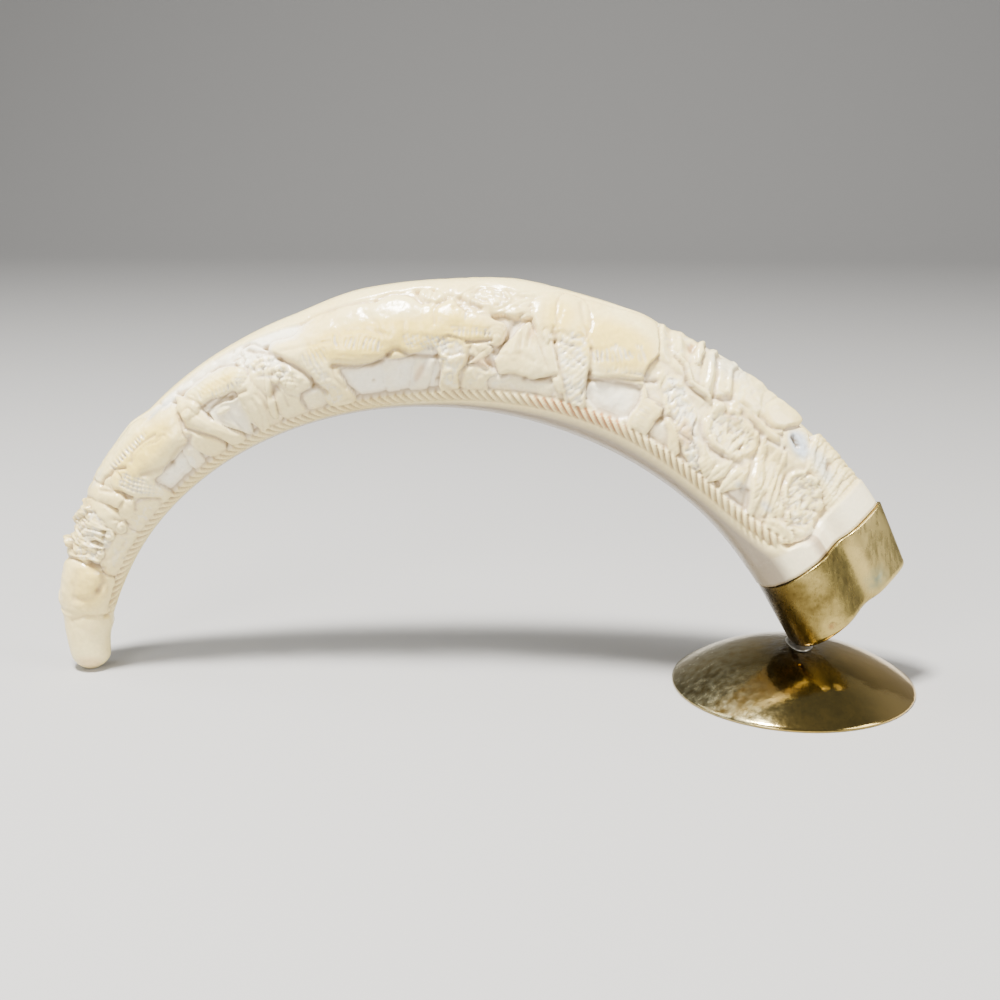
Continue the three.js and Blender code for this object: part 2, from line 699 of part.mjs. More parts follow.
// Lanes run along the tooth in this order: underside, rope, carved field, back
function laneTurn(lane, along) {
  const rope = ropeLine(along);
  const low = turnFor(along, rope - ROPE_HALF_WIDTH);
  const high = turnFor(along, rope + ROPE_HALF_WIDTH);
  const top = Math.min(turnFor(along, upperBorder(along)), radians(BORDER_TURN_LIMIT));
  const underside = radians(UNDERSIDE_TURN);
  if (lane <= INNER_LANES) return mix(underside, low, lane / INNER_LANES);
  if (lane === INNER_LANES + 1) return turnFor(along, rope);
  const field = lane - INNER_LANES - 2;
  if (field <= FIELD_LANES) return mix(high, top, field / FIELD_LANES);
  return mix(top, underside + 2 * Math.PI, (field - FIELD_LANES) / BACK_LANES);
}

// The carving's mean height over the patch that one corner stands for
function patchHeight(along, across) {
  let sum = 0;
  for (let i = -1; i <= 1; i += 1) {
    for (let j = -1; j <= 1; j += 1) {
      const weight = (i === 0 ? 2 : 1) * (j === 0 ? 2 : 1);
      sum += weight * relief(along + i * PATCH_LENGTH, across + j * PATCH_WIDTH);
    }
  }
  return sum / 16;
}

function laneStations(lane) {
  const onRope = lane >= INNER_LANES && lane <= INNER_LANES + 2;
  const onField = lane > INNER_LANES && lane <= INNER_LANES + 2 + FIELD_LANES;
  const stations = [0, 0.5, 1.5, 3, 5, 8.5, 12, 15.5, 18.4, 19.8];
  const step = onRope ? ROPE_PITCH / 2 : onField ? FIELD_STEP : BACK_STEP;
  const first = onRope ? ROPE_START - ROPE_PITCH / 2 : 21.4;
  for (let along = first; along < FIELD_END - 1; along += step) stations.push(along);
  if (onField) stations.push(FIELD_END + 0.6, FIELD_END + 2.4);
  stations.push(FIELD_END + 3.8, FIELD_END + 5.6);
  return stations;
}

function makeTooth() {
  const body = shell();
  const lanes = [];
  for (let lane = 0; lane < LANES; lane += 1) {
    const onRope = lane >= INNER_LANES && lane <= INNER_LANES + 2;
    const row = laneStations(lane).map((along) => {
      const turn = laneTurn(lane, along);
      const across = arcAcross(along, turn);
      const worked = onRope ? relief(along, across) : patchHeight(along, across);
      const height = along < FIELD_START - 1 ? 0 : worked;
      return { along, corner: body.corner(toothPoint(along, turn, height)) };
    });
    const turn = laneTurn(lane, LENGTH_TO_COLLAR);
    const rim = alongWhere(turn, -SHOULDER_GAP, COLLAR_TOP, COLLAR_TOP_HEADING);
    const seat = [-SHOULDER_GAP / COLLAR_LENGTH, ROOT_SHARE].map((share) => seatPoint(share, turn));
    [toothPoint(rim, turn, 0), ...seat].forEach((place, i) => {
      row.push({ along: LENGTH_TO_COLLAR + i, corner: body.corner(place) });
    });
    lanes.push(row);
  }
  lanes.forEach((row, i) => stitch(body, row, lanes[(i + 1) % lanes.length]));
  closeRing(body, lanes.map((row) => row[0].corner));
  closeRing(body, lanes.map((row) => row[row.length - 1].corner).reverse());
  return body.finish();
}

// Joins loops of corners in order and closes both ends
function makeLoops(loops) {
  const body = shell();
  const rings = loops.map((loop) => loop.map((place) => body.corner(place)));
  rings.slice(1).forEach((ring, k) => {
    const last = rings[k];
    ring.forEach((index, i) => {
      const next = (i + 1) % ring.length;
      body.face(last[i], last[next], ring[next]);
      body.face(last[i], ring[next], index);
    });
  });
  closeRing(body, [...rings[0]].reverse());
  closeRing(body, rings[rings.length - 1]);
  return body.finish();
}

function makeCollar() {
  const levels = [
    [1 - COLLAR_FLOOR / COLLAR_LENGTH, COLLAR_WALL],
    [0, COLLAR_WALL],
    [0, COLLAR_EDGE_BREAK],
    [COLLAR_EDGE_BREAK / COLLAR_LENGTH, 0],
    [1 - COLLAR_EDGE_BREAK / COLLAR_LENGTH, 0],
    [1, COLLAR_EDGE_BREAK],
  ];
  return makeLoops(
    levels.map(([share, inset]) =>
      Array.from({ length: LANES }, (_, lane) =>
        collarPoint(share, laneTurn(lane, LENGTH_TO_COLLAR), inset)
      )
    )
  );
}

// Height of the dome's outer face at a distance from its middle
function domeHeight(away) {
  const rise = DISH_HEIGHT - DISH_RIM_HEIGHT;
  const ball = (DISH_RADIUS ** 2 + rise ** 2) / (2 * rise);
  return Math.sqrt(ball ** 2 - Math.min(away, DISH_RADIUS) ** 2) - ball + rise + DISH_RIM_HEIGHT;
}

function makeDish() {
  const ledge = DISH_RADIUS - DISH_LEDGE;
  const outer = [0.08, 0.3, 0.52, 0.72, 0.88, 1].map((share) => {
    const away = DISH_RADIUS * share;
    return [away, domeHeight(away)];
  });
  const inner = [1, 0.75, 0.5, 0.25].map((share) => {
    const away = ledge * share;
    return [away, domeHeight(away) - DISH_SHEET];
  });
  const profile = [...outer, [DISH_RADIUS - 0.15, 0], [ledge, 0], ...inner];
  return makeLoops(
    profile.map(([away, z]) =>
      Array.from({ length: DISH_SIDES }, (_, i) => {
        const angle = (2 * Math.PI * i) / DISH_SIDES;
        return new THREE.Vector3(
          DISH_CENTRE_X + away * Math.cos(angle),
          DISH_CENTRE_Y + away * Math.sin(angle),
          z
        );
      })
    )
  );
}

// The solder lies on the dome and fills the wedge under the collar's low edge
function solderPoint(share, angle, top) {
  const x = SOLDER_X + (SOLDER_WIDTH / 2) * share * Math.cos(angle);
  const y = (SOLDER_LENGTH / 2) * share * Math.sin(angle);
  const bed = domeHeight(Math.hypot(x - DISH_CENTRE_X, y - DISH_CENTRE_Y)) + FIT_GAP;
  if (!top) return new THREE.Vector3(x, y, bed);
  const corner = collarPoint(1, -Math.PI / 2, 0);
  const heading = radians(COLLAR_FOOT_HEADING);
  const underFloor = (x - corner.x) / -Math.tan(heading);
  const besideWall = (corner.x - x) * 1.7;
  const limit = corner.z - SOLDER_CLEARANCE + (x > corner.x ? underFloor : besideWall);
  const mound = bed + SOLDER_HEIGHT * (1 - share ** 2);
  return new THREE.Vector3(x, y, Math.max(Math.min(mound, limit), bed + 0.08));
}

function makeSolder() {
  const shares = [0.3, 0.65, 0.88];
  const loop = (share, top) =>
    Array.from({ length: SOLDER_SIDES }, (_, i) =>
      solderPoint(share, (2 * Math.PI * i) / SOLDER_SIDES, top)
    );
  const topLoops = shares.map((share) => loop(share, true));
  const underLoops = [...shares].reverse().map((share) => loop(share, false));
  return makeLoops([...topLoops, loop(1, false), ...underLoops]);
}

const ivory = new THREE.MeshStandardMaterial({ color: 0xe8dfca, roughness: 0.38, metalness: 0 });
const brass = new THREE.MeshStandardMaterial({ color: 0xa98a4b, roughness: 0.32, metalness: 1 });
const tin = new THREE.MeshStandardMaterial({ color: 0x8f918d, roughness: 0.5, metalness: 1 });

const pieces = [
  ["carved_tusk", makeTooth(), ivory],
  ["brass_collar", makeCollar(), brass],
  ["foot_dish", makeDish(), brass],
  ["solder_joint", makeSolder(), tin],
];

// The whole is set so that the middle of its footprint is at the origin
const whole = new THREE.Box3();
pieces.forEach(([, geometry]) => {
  geometry.computeBoundingBox();
  whole.union(geometry.boundingBox);
});
const middle = whole.getCenter(new THREE.Vector3());

const group = new THREE.Group();
group.name = "carved_warthog_tusk";
pieces.forEach(([name, geometry, material]) => {
  geometry.translate(-middle.x, -middle.y, -whole.min.z);
  geometry.computeVertexNormals();
  const mesh = new THREE.Mesh(geometry, material);
  mesh.name = name;
  group.add(mesh);
});

export default group;
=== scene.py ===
"""Carved warthog tooth standing on a brass collar and a domed brass foot.

The carving is worked out in millimetres on the tooth's developed surface:
"along" runs from the tip to the collar, "across" from the rope up to the back.
"""
import math

import bmesh
import bpy
import numpy as np
from mathutils import Matrix, Vector


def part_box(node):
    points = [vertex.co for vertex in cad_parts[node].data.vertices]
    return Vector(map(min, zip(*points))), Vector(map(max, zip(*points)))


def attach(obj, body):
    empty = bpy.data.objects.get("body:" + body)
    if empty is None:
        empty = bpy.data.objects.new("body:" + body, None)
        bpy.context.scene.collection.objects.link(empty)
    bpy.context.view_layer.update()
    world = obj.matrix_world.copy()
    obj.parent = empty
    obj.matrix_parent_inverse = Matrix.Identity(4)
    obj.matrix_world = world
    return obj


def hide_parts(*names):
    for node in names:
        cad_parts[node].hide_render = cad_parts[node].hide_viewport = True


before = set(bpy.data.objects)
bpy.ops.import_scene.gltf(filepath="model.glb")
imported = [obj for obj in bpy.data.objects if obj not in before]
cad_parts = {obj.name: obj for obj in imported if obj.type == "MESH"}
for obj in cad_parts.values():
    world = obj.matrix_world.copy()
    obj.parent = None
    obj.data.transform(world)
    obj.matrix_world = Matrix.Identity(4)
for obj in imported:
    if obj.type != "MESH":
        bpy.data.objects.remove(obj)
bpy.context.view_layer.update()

bl_info = {
    "name": "Carved warthog tooth",
    "version": (1, 0, 0),
    "blender": (4, 5, 0),
    "location": "3D View > Sidebar > Carved tooth",
    "description": "Dresses the carved tooth, its brass collar and its domed foot",
    "category": "Object",
}

MM = 0.001

# The camera, in metres in the part's own frame
CAMERA_PLACE = (0.02778, -0.4159, 0.171)
CAMERA_HEADING = (-0.0524, 0.9627, -0.2656)

# The middle of the dish in the tooth's own measuring frame, in millimetres
DISH_MIDDLE = (-1.1, -1.5)

# The tooth's centre line
TIP_X = -218.9
TIP_HEADING = 91.5
BEND_RADIUS_TIP = 82
BEND_RADIUS_MIDDLE = 126
BEND_RADIUS_COLLAR = 120.3
BEND_LENGTH = 299.8
BEND_LEAD = 3
LINE_STEP = 0.5
LINE_LENGTH = 330

# How the developed surface lies in the grain's own coordinates
ROOT_U = 0.95
UV_GIRTH = 120

# The tooth's cross-section
HALF_WIDTH_COLLAR = 20.4
WIDTH_TAPER = 0.714
WIDTH_TAPER_POWER = 2.37
COLLAR_SWELL = 0.6
COLLAR_SWELL_SPAN = (265, 292)
DEPTH_SHARE_TIP = 0.88
DEPTH_SHARE_COLLAR = 0.735
DEPTH_CHANGE_LENGTH = 300
LOBE_SKEW = 0.575
LOBE_SPAN = (150, 292)
WAIST_DEPTH = 3.0
WAIST_SPAN = (205, 292)
WAIST_ACROSS = 5
WAIST_WIDTH = 4
TIP_ROUNDING = 5
TIP_SHIFT = 1
TIP_SHIFT_SPANS = ((2, 14), (16, 20))
TIP_SLIMMING = 0.7
TIP_SLIM_SPAN = (10, 22)
TIP_FLAT = 0.32

# The carved field and its rope border
FIELD_START = 19
FIELD_END = 290.5
FIELD_END_BULGE = 2.5
FIELD_END_BULGE_MIDDLE = 1
FIELD_END_BULGE_REACH = 5
DEEP_GROUND_EXTRA = 0.6
DEEP_GROUND_ALONG = (215, 250)
DEEP_GROUND_ACROSS = (8, 18)
BORDER_SLOPE = 1.4
EDGE_SOFTNESS = 0.25
HAND_WANDER = 0.4
HAND_WANDER_REACH = 2.7
MOAT_WIDTH = 0.7
MOAT_DEPTH = 0.08
CUT_STRENGTH = 0.8
CUT_BREADTH = 1.4
HATCH_STRENGTH = 1.1
LEAST_FACING = 0.5

# Smooth random waviness: its lattice, and how far that reaches below the middle
LATTICE = (400, 160)
LATTICE_MARGIN = 70

# The rope border
ROPE_START = (22, 24)
ROPE_END = (286, 289)
ROPE_HALF_WIDTH = 2.35
ROPE_LEAN = 1.0
ROPE_CREST = 0.35
ROPE_VALLEY = -1.35
ROPE_UNEVENNESS = 0.3
STRIP_DEPTH = 0.5
STRIP_FOOT = (-7, -2.2)
STRIP_TOP = (-2.2, -1.5)
STRIP_START = (30, 60)
STRIP_END = (280, 290)

# Small ripples left by the knife, each with its height, size and seed
RIPPLES = ((0.1, 1.9, 3), (0.06, 0.9, 4))

# The skin beside the carving: a worn stretch, then a fuller one at the top of the arch
WORN_DEPTH = 1.6
WORN_START = (76, 84)
WORN_END = (128, 150)
FULL_RISE = 1.1
FULL_MIDDLE = 187
FULL_REACH = 12
BESIDE_START = (4, 14)
BESIDE_END = (26, 40)

# Colour that follows the place on the tooth: the band, the rope's stain, and painted shade on the
# underside
PALE_BAND = 0.6
PALE_BAND_START = (289, 292)
STAIN_EVERYWHERE = 0.1
STAIN_START = (193, 203)
STAIN_END = (224, 231)
SHADED_UNDERSIDE_TURNS = (-2.5, -1.7)
SHADED_UNDERSIDE_OFFSETS = (-5, -2.6)

# The brass collar
COLLAR_TOP = (4.3, 44.6)
COLLAR_FOOT = (14.05, 25.55)
COLLAR_TOP_HEADING = -54.4
COLLAR_FOOT_HEADING = -53.2
COLLAR_HALF_WIDTH_TOP = 21.4
COLLAR_HALF_WIDTH_FOOT = 20.4
COLLAR_LENGTH = 21.4
COLLAR_FLOOR = 1.0
FIT_GAP = 0.32
SHOULDER_GAP = 0.35
SEAT_SHARES = (0.3, 0.62, 0.93)
RIM_SEARCH = (270, 330)
RIM_SEARCH_STEPS = 30
COLLAR_FULLNESS = 0.4

# The broken edges of the dish's rim
DISH_EDGE = 0.15

# Marks on the collar, as (across, down) from its top rim, or across alone
GREEN_SPOT = (11, 16.5)
GREEN_REACH = 4.5
COPPER_SPOT = (-7.2, 18)
COPPER_REACH = 1.3
# The collar's right side gets a painted reflection and its left side painted shade, set by across
# alone
COLLAR_PAINTED_REFLECTION = 0.8
COLLAR_PAINTED_REFLECTION_SPAN = (3, 13)
COLLAR_PAINTED_SHADE_SPAN = (-17, -5)
COLLAR_PAINTED_SHADE_LEAN = 0.1

# Marks on the dish: from the joint outwards, and from the middle to each side; the left side's
# grey-green and the right side's warm brightness are painted reflections
SMEAR = 0.6
SMEAR_SPAN = (4, 15)
DISH_GREEN_REFLECTION = 0.7
DISH_GREEN_REFLECTION_SPAN = (2, 26)
DISH_PAINTED_REFLECTION = 0.85
DISH_PAINTED_REFLECTION_SPAN = (4, 24)
DISH_PAINTED_REFLECTION_MIDDLE = -6

# The solder under the collar's lower edge
SOLDER_LENGTH = 15
SOLDER_WIDTH = 8
SOLDER_X = 0.6
SOLDER_CLEARANCE = 0.4
SOLDER_LEAST = 0.08
SOLDER_LUMPS = 0.25
SOLDER_SLOPE = 1.7
SOLDER_SHARES = (0.12, 0.3, 0.48, 0.65, 0.8, 0.92)

# How finely the tooth is divided
PLAIN_RINGS_TO = 18
PLAIN_RING_STEP = 0.75
RING_STEP = 0.325
BAND_START = 292
BAND_RINGS = 8
UNDERSIDE_TURN = -140
BORDER_TURN_LIMIT = 125
UNDER_COLUMNS = 10
ROPE_COLUMNS = 9
FIELD_COLUMNS = 81
BACK_COLUMNS = 12
ROPE_EDGE = 2.6

# How finely the brass and the solder are divided
COLLAR_SIDES = 192
COLLAR_LEVELS = 34
CORNER_STEPS = 5
DISH_RINGS = 40
DISH_INNER_RINGS = 12
DISH_SIDES = 160
SOLDER_SIDES = 48

# Small steps, in millimetres and radians, that give the slope of a surface
SLOPE_STEP = 0.2
SLOPE_TURN = 0.01

# The studio: each light's name, place, breadth, watts and colour
LIGHTS = (
    ("window", (-0.2, -0.24, 0.95), 0.16, 42.0, (1.0, 0.98, 0.95)),
    ("front", (-0.45, -0.9, 0.5), 0.4, 8.0, (1.0, 0.98, 0.95)),
    ("side", (0.75, -0.3, 0.45), 0.4, 7.0, (1.0, 0.98, 0.94)),
    ("left", (-0.7, 0.1, 0.7), 0.35, 3.0, (0.95, 0.98, 1.0)),
)
LIGHT_AIM = (0, 0, 0.05)
WORLD_COLOUR = (0.94, 0.96, 1.0)
WORLD_STRENGTH = 0.25


def smooth(low, high, value):
    t = np.clip((value - low) / (high - low), 0, 1)
    return t * t * (3 - 2 * t)


def between(start, end, value):
    """1 between two slopes, 0 outside them; each slope is given as (low, high)."""
    return smooth(*start, value) * (1 - smooth(*end, value))


def mix(a, b, share):
    return a + (b - a) * share


def line_through(places):
    """A smooth line through a few places, each given as (along, across)."""
    stations = np.array([place[0] for place in places], float)
    levels = np.array([place[1] for place in places], float)

    def level(along):
        along = np.asarray(along, float)
        i = np.clip(np.searchsorted(stations, along, side="right"), 1, len(places) - 1)
        before, after = np.maximum(i - 2, 0), np.minimum(i + 1, len(places) - 1)
        span = stations[i] - stations[i - 1]
        slope_a = span * (levels[i] - levels[before]) / (stations[i] - stations[before])
        slope_b = span * (levels[after] - levels[i - 1])
        slope_b = slope_b / (stations[after] - stations[i - 1])
        t = np.clip((along - stations[i - 1]) / span, 0, 1)
        return (
            (2 * t**3 - 3 * t**2 + 1) * levels[i - 1]
            + (t**3 - 2 * t**2 + t) * slope_a
            + (3 * t**2 - 2 * t**3) * levels[i]
            + (t**3 - t**2) * slope_b
        )

    return level


rope_line = line_through([
    (20, -10.5), (50, -13), (75, -14.5), (100, -15.6), (130, -16.6), (160, -16.4),
    (176, -14.6), (205, -12), (225, -11.3), (260, -12.7), (275, -11.6), (290, -7),
])

upper_border = line_through([
    (18, 14), (60, 19), (90, 17), (110, 18), (128, 17), (134, 16), (145, 17.8),
    (157, 19.6), (167, 20.2), (173, 16.4), (180, 22.4), (192, 19.2), (200, 24.4),
    (216, 26.5), (228, 34), (300, 36),
])


def bend(along):
    t = (along + BEND_LEAD) / BEND_LENGTH
    return (
        (1 - t) * (1 - 2 * t) / BEND_RADIUS_TIP
        + 4 * t * (1 - t) / BEND_RADIUS_MIDDLE
        + t * (2 * t - 1) / BEND_RADIUS_COLLAR
    )


def make_centre_line():
    """Steps along the tooth once and gives x, z and heading at any distance."""
    stations = np.arange(0, LINE_LENGTH + LINE_STEP, LINE_STEP)
    turning = bend(stations + LINE_STEP / 2) * LINE_STEP
    heading = math.radians(TIP_HEADING) - np.concatenate([[0], np.cumsum(turning)[:-1]])
    halfway = heading - turning / 2
    x = TIP_X + np.concatenate([[0], np.cumsum(np.cos(halfway) * LINE_STEP)[:-1]])
    z = np.concatenate([[0], np.cumsum(np.sin(halfway) * LINE_STEP)[:-1]])

    def place(along):
        return [np.interp(along, stations, row) for row in (x, z, heading)]

    return place


centre_line = make_centre_line()


def half_width(along):
    left = np.maximum(1 - (along + BEND_LEAD) / BEND_LENGTH, 0)
    fuller = COLLAR_SWELL * smooth(*COLLAR_SWELL_SPAN, along)
    return HALF_WIDTH_COLLAR * (1 - WIDTH_TAPER * left**WIDTH_TAPER_POWER) + fuller


def half_depth(along):
    share = mix(DEPTH_SHARE_TIP, DEPTH_SHARE_COLLAR, along / DEPTH_CHANGE_LENGTH)
    return half_width(along) * share


def outline(turn, width, depth, skew, waist):
    """The waisted outline that the tooth's root and the collar share."""
    across = width * np.sin(turn)
    facing = np.cos(turn)
    groove = waist * np.exp(-(((across - WAIST_ACROSS) / WAIST_WIDTH) ** 2))
    bulge = depth * np.abs(facing) * (1 - skew * np.sin(turn)) - groove
    return across, np.where(facing >= 0, -bulge, bulge)


def section(along, turn):
    ease = np.clip(along / TIP_ROUNDING, 0, 1)
    rounding = np.maximum(TIP_FLAT, np.sqrt(1 - (1 - ease) ** 2))
    skew = LOBE_SKEW * smooth(*LOBE_SPAN, along)
    waist = WAIST_DEPTH * smooth(*WAIST_SPAN, along)
    slim = TIP_SLIMMING * (1 - smooth(*TIP_SLIM_SPAN, along))
    lean = TIP_SHIFT * sum(1 - smooth(*span, along) for span in TIP_SHIFT_SPANS)
    width = (half_width(along) - slim) * rounding
    across, depth = outline(turn, width, half_depth(along) * rounding, skew, waist)
    return across - lean, depth


def arc_across(along, turn):
    """Distance across the carved face, measured round a plain oval."""
    width, depth = half_width(along), half_depth(along)
    steps = 16
    total = 0
    for i in range(steps + 1):
        angle = turn * i / steps
        weight = 1 if i in (0, steps) else 4 if i % 2 else 2
        total = total + weight * np.hypot(width * np.cos(angle), depth * np.sin(angle))
    return total * turn / steps / 3


def turn_for(along, across):
    low = np.full_like(along, -math.pi)
    high = np.full_like(along, math.pi)
    for _ in range(30):
        middle = (low + high) / 2
        below = arc_across(along, middle) < across
        low = np.where(below, middle, low)
        high = np.where(below, high, middle)
    return (low + high) / 2


# Carving shapes: each knows its reach along the tooth and how far a place is inside
def oval(along, across, half_length, half_height, turn=0):
    c, s = math.cos(math.radians(turn)), math.sin(math.radians(turn))
    small = min(half_length, half_height)
    reach = max(half_length, half_height)

    def inside(x, y):
        u = ((x - along) * c + (y - across) * s) / half_length
        v = ((y - across) * c - (x - along) * s) / half_height
        size = np.maximum(np.hypot(u, v), 1e-6)
        slope = np.hypot(u / half_length, v / half_height) / size
        away = np.minimum((1 - size) / slope, small)
        return np.where(size < 0.2, small * (1 - size), away)

    return (along - reach, along + reach), inside


def limb(*stations):
    """A run of tapering strokes through (along, across, radius) stations."""
    widest = max(station[2] for station in stations)
    low = min(station[0] for station in stations) - widest
    high = max(station[0] for station in stations) + widest

    def inside(x, y):
        best = np.full(np.shape(x), -99.0)
        for (ax, ay, ar), (bx, by, br) in zip(stations, stations[1:]):
            dx, dy = bx - ax, by - ay
            t = np.clip(((x - ax) * dx + (y - ay) * dy) / (dx * dx + dy * dy), 0, 1)
            away = np.hypot(x - ax - dx * t, y - ay - dy * t)
            best = np.maximum(best, mix(ar, br, t) - away)
        return best

    return (low, high), inside


def plate(*corners):
    """A flat shape with straight sides, corners listed round it."""
    sides = list(zip(corners, corners[1:] + corners[:1]))
    area = sum(ax * by - bx * ay for (ax, ay), (bx, by) in sides)
    facing = 1 if area > 0 else -1

    def inside(x, y):
        best = np.full(np.shape(x), 99.0)
        for (ax, ay), (bx, by) in sides:
            run = math.hypot(bx - ax, by - ay)
            off = facing * ((bx - ax) * (y - ay) - (by - ay) * (x - ax)) / run
            best = np.minimum(best, off)
        return best

    alongs = [corner[0] for corner in corners]
    return (min(alongs), max(alongs)), inside


def joined(shapes, x, y, blend=1.2):
    total = np.full(np.shape(x), -99.0)
    for _, inside in shapes:
        other = inside(x, y)
        t = np.clip(0.5 + (other - total) / blend / 2, 0, 1)
        total = mix(total, other, t) + blend * t * (1 - t)
    return total


def reach_of(shapes, margin):
    return min(s[0][0] for s in shapes) - margin, max(s[0][1] for s in shapes) + margin


def figure(edge, crown, roundness, *shapes, moat=MOAT_DEPTH, blend=1.2):
    """A rounded form that rises from its edge height to its crown."""

    def lay(height, x, y):
        wander = HAND_WANDER * wobble(x, y, HAND_WANDER_REACH, 17)
        depth_in = joined(shapes, x, y, blend) + wander
        cover = smooth(-EDGE_SOFTNESS, EDGE_SOFTNESS, depth_in)
        climb = np.sqrt(1 - (1 - np.clip(depth_in / roundness, 0, 1)) ** 2)
        ditch = moat * np.exp(-(((depth_in + MOAT_WIDTH) / MOAT_WIDTH) ** 2))
        return mix(height - ditch, mix(edge, crown, climb), cover)

    return "form", reach_of(shapes, 3), lay


def swell(rise, softness, *shapes, kind="form", blend=1.2):
    """A soft rise laid on what is there, without an edge of its own."""

    def lay(height, x, y):
        return height + rise * smooth(0, softness, joined(shapes, x, y, blend))

    return kind, reach_of(shapes, 2), lay


def cut(depth, half_width_mm, *places):
    """A knife line through a few (along, across) places."""
    line = limb(*[(a, b, 0) for a, b in places])
    breadth = half_width_mm * CUT_BREADTH

    def lay(height, x, y):
        away = -line[1](x, y)
        return height - depth * CUT_STRENGTH * np.exp(-((away / breadth) ** 2))

    return "line", reach_of([line], 3), lay


def hatch(depth, pitch, lean, *shapes):
    """Fine parallel cuts over a shape. lean 0 runs them up the tooth's side."""
    c, s = math.cos(math.radians(lean)), math.sin(math.radians(lean))

    def lay(height, x, y):
        over = smooth(0, 1.2, joined(shapes, x, y))
        bent = x * c + y * s + 0.35 * wobble(x, y, 2.3, 6)
        stroke = (0.5 - 0.5 * np.cos(2 * math.pi * bent / pitch)) ** 1.3
        broken = 0.6 + 0.4 * wobble(x, y, 1.6, 7)
        return height - depth * HATCH_STRENGTH * stroke * broken * over

    return "texture", reach_of(shapes, 2), lay


def crumple(depth, size, seed, *shapes):
    """Irregular small folds over a shape."""

    def lay(height, x, y):
        over = smooth(0, 1.0, joined(shapes, x, y))
        folds = np.abs(wobble(x, y, size, seed))
        folds = folds + 0.5 * np.abs(wobble(x, y, size / 1.9, seed + 1))
        return height + depth * over * (np.minimum(folds * 1.3, 1) - 1)

    return "texture", reach_of(shapes, 2), lay


def cross_hatch(depth, lean, shape):
    """Fine strokes with fainter ones across them."""
    return [hatch(depth, 1.2, lean, shape), hatch(0.35, 1.3, lean + 90, shape)]


def curl(along, across, radius, turn):
    """A lock of hair rolled up into a knob."""
    arc = []
    for i in range(9):
        angle = math.radians(turn + 42 * i)
        away = radius * (0.85 - 0.07 * i)
        arc.append((along + away * math.cos(angle), across + away * math.sin(angle)))
    return [
        figure(-0.8, 0.3, radius * 0.9, oval(along, across, radius, radius * 0.9)),
        cut(0.55, 0.28, *arc),
    ]


def tip_head():
    """A rounded head with a boss, next to the plain tip."""
    return [
        figure(-0.9, 0.5, 6, oval(28, 2, 9.6, 10.6), oval(27, -6, 8, 5), blend=4),
        swell(0.35, 2, oval(30, -0.8, 5.2, 3.6)),
        swell(0.2, 3, oval(27, 7, 7, 3.4)),
        swell(-0.45, 2.2, oval(31.6, -7.2, 3.8, 1.9, 8)),
        cut(0.4, 0.7, (24.4, 2.6), (25, 0), (26.4, -2.8), (29, -4.2)),
        cut(1.0, 0.8, (29, -4.2), (32, -5.4), (35.4, -3.9), (36.4, -0.5)),
        cut(0.22, 0.5, (25.4, 2.8), (28.5, 3.4), (32.4, 3.4)),
        cut(0.25, 0.5, (27.2, -6.5), (28, -9), (33, -9.6), (36, -9)),
    ]


def lock(start, sway, crown):
    """A wavy lock of hair with two strands cut into it."""
    spine = [
        (start, 14.5, 0.9),
        (start + 1.3 + sway, 10.6, 1.5),
        (start + 0.5 - sway, 6.6, 1.6),
        (start + 2.4 + sway, 2.4, 1.4),
        (start + 3.2, -1.4, 0.8),
    ]
    strands = [
        cut(0.4, 0.24, *[(a + shift, b) for a, b, _ in spine]) for shift in (-0.6, 0.5)
    ]
    return [figure(-0.9, crown, 1.6, limb(*spine), moat=0.2), *strands]


def mane():
    """Wavy locks fall from the back to the rope."""
    locks = []
    for i in range(6):
        locks += lock(36.6 + 2.1 * i, 0.9 * math.sin(2.4 * i), 0.4 - 0.35 * (i % 2))
    return [
        figure(-1.6, -0.7, 4, oval(46, -6.5, 11, 5.5)),
        figure(-1.4, -0.3, 3, oval(53, 3, 4.4, 9)),
        *locks,
        crumple(0.55, 1.6, 41, oval(45, 5, 8, 9)),
        cut(0.9, 0.4, (35.6, 12.5), (36.3, 6), (36.9, 0), (37.6, -4)),
        *curl(46.4, 8.6, 1.9, 200),
        *curl(50.6, 7.2, 2, 20),
        *curl(53.4, 10.2, 1.6, 120),
        *curl(41.8, -1.4, 1.5, 60),
        *curl(48.4, -1.6, 1.8, 90),
        *curl(52.8, -3.8, 2, 40),
        cut(0.7, 0.35, (54.2, -1), (55.1, -3.2), (54.8, -5.6)),
        swell(0.3, 2, limb((40, -6, 1.4), (47, -8, 1.6), (54, -8.6, 1.6))),
        cut(0.3, 0.5, (40.5, -4), (44, -6.2), (48, -7)),
        crumple(0.3, 2.2, 61, oval(47, -7, 9, 3)),
        figure(-0.4, 2.0, 1.4, limb((38.4, 17, 1.1), (39, 11, 1.3))),
        figure(-0.6, 1.2, 1.4, limb((44, 16, 1), (47.5, 12.4, 1.2), (51.5, 8.5, 0.8))),
        cut(0.7, 0.35, (48.2, 14), (50, 10), (52.3, 5.4)),
    ]


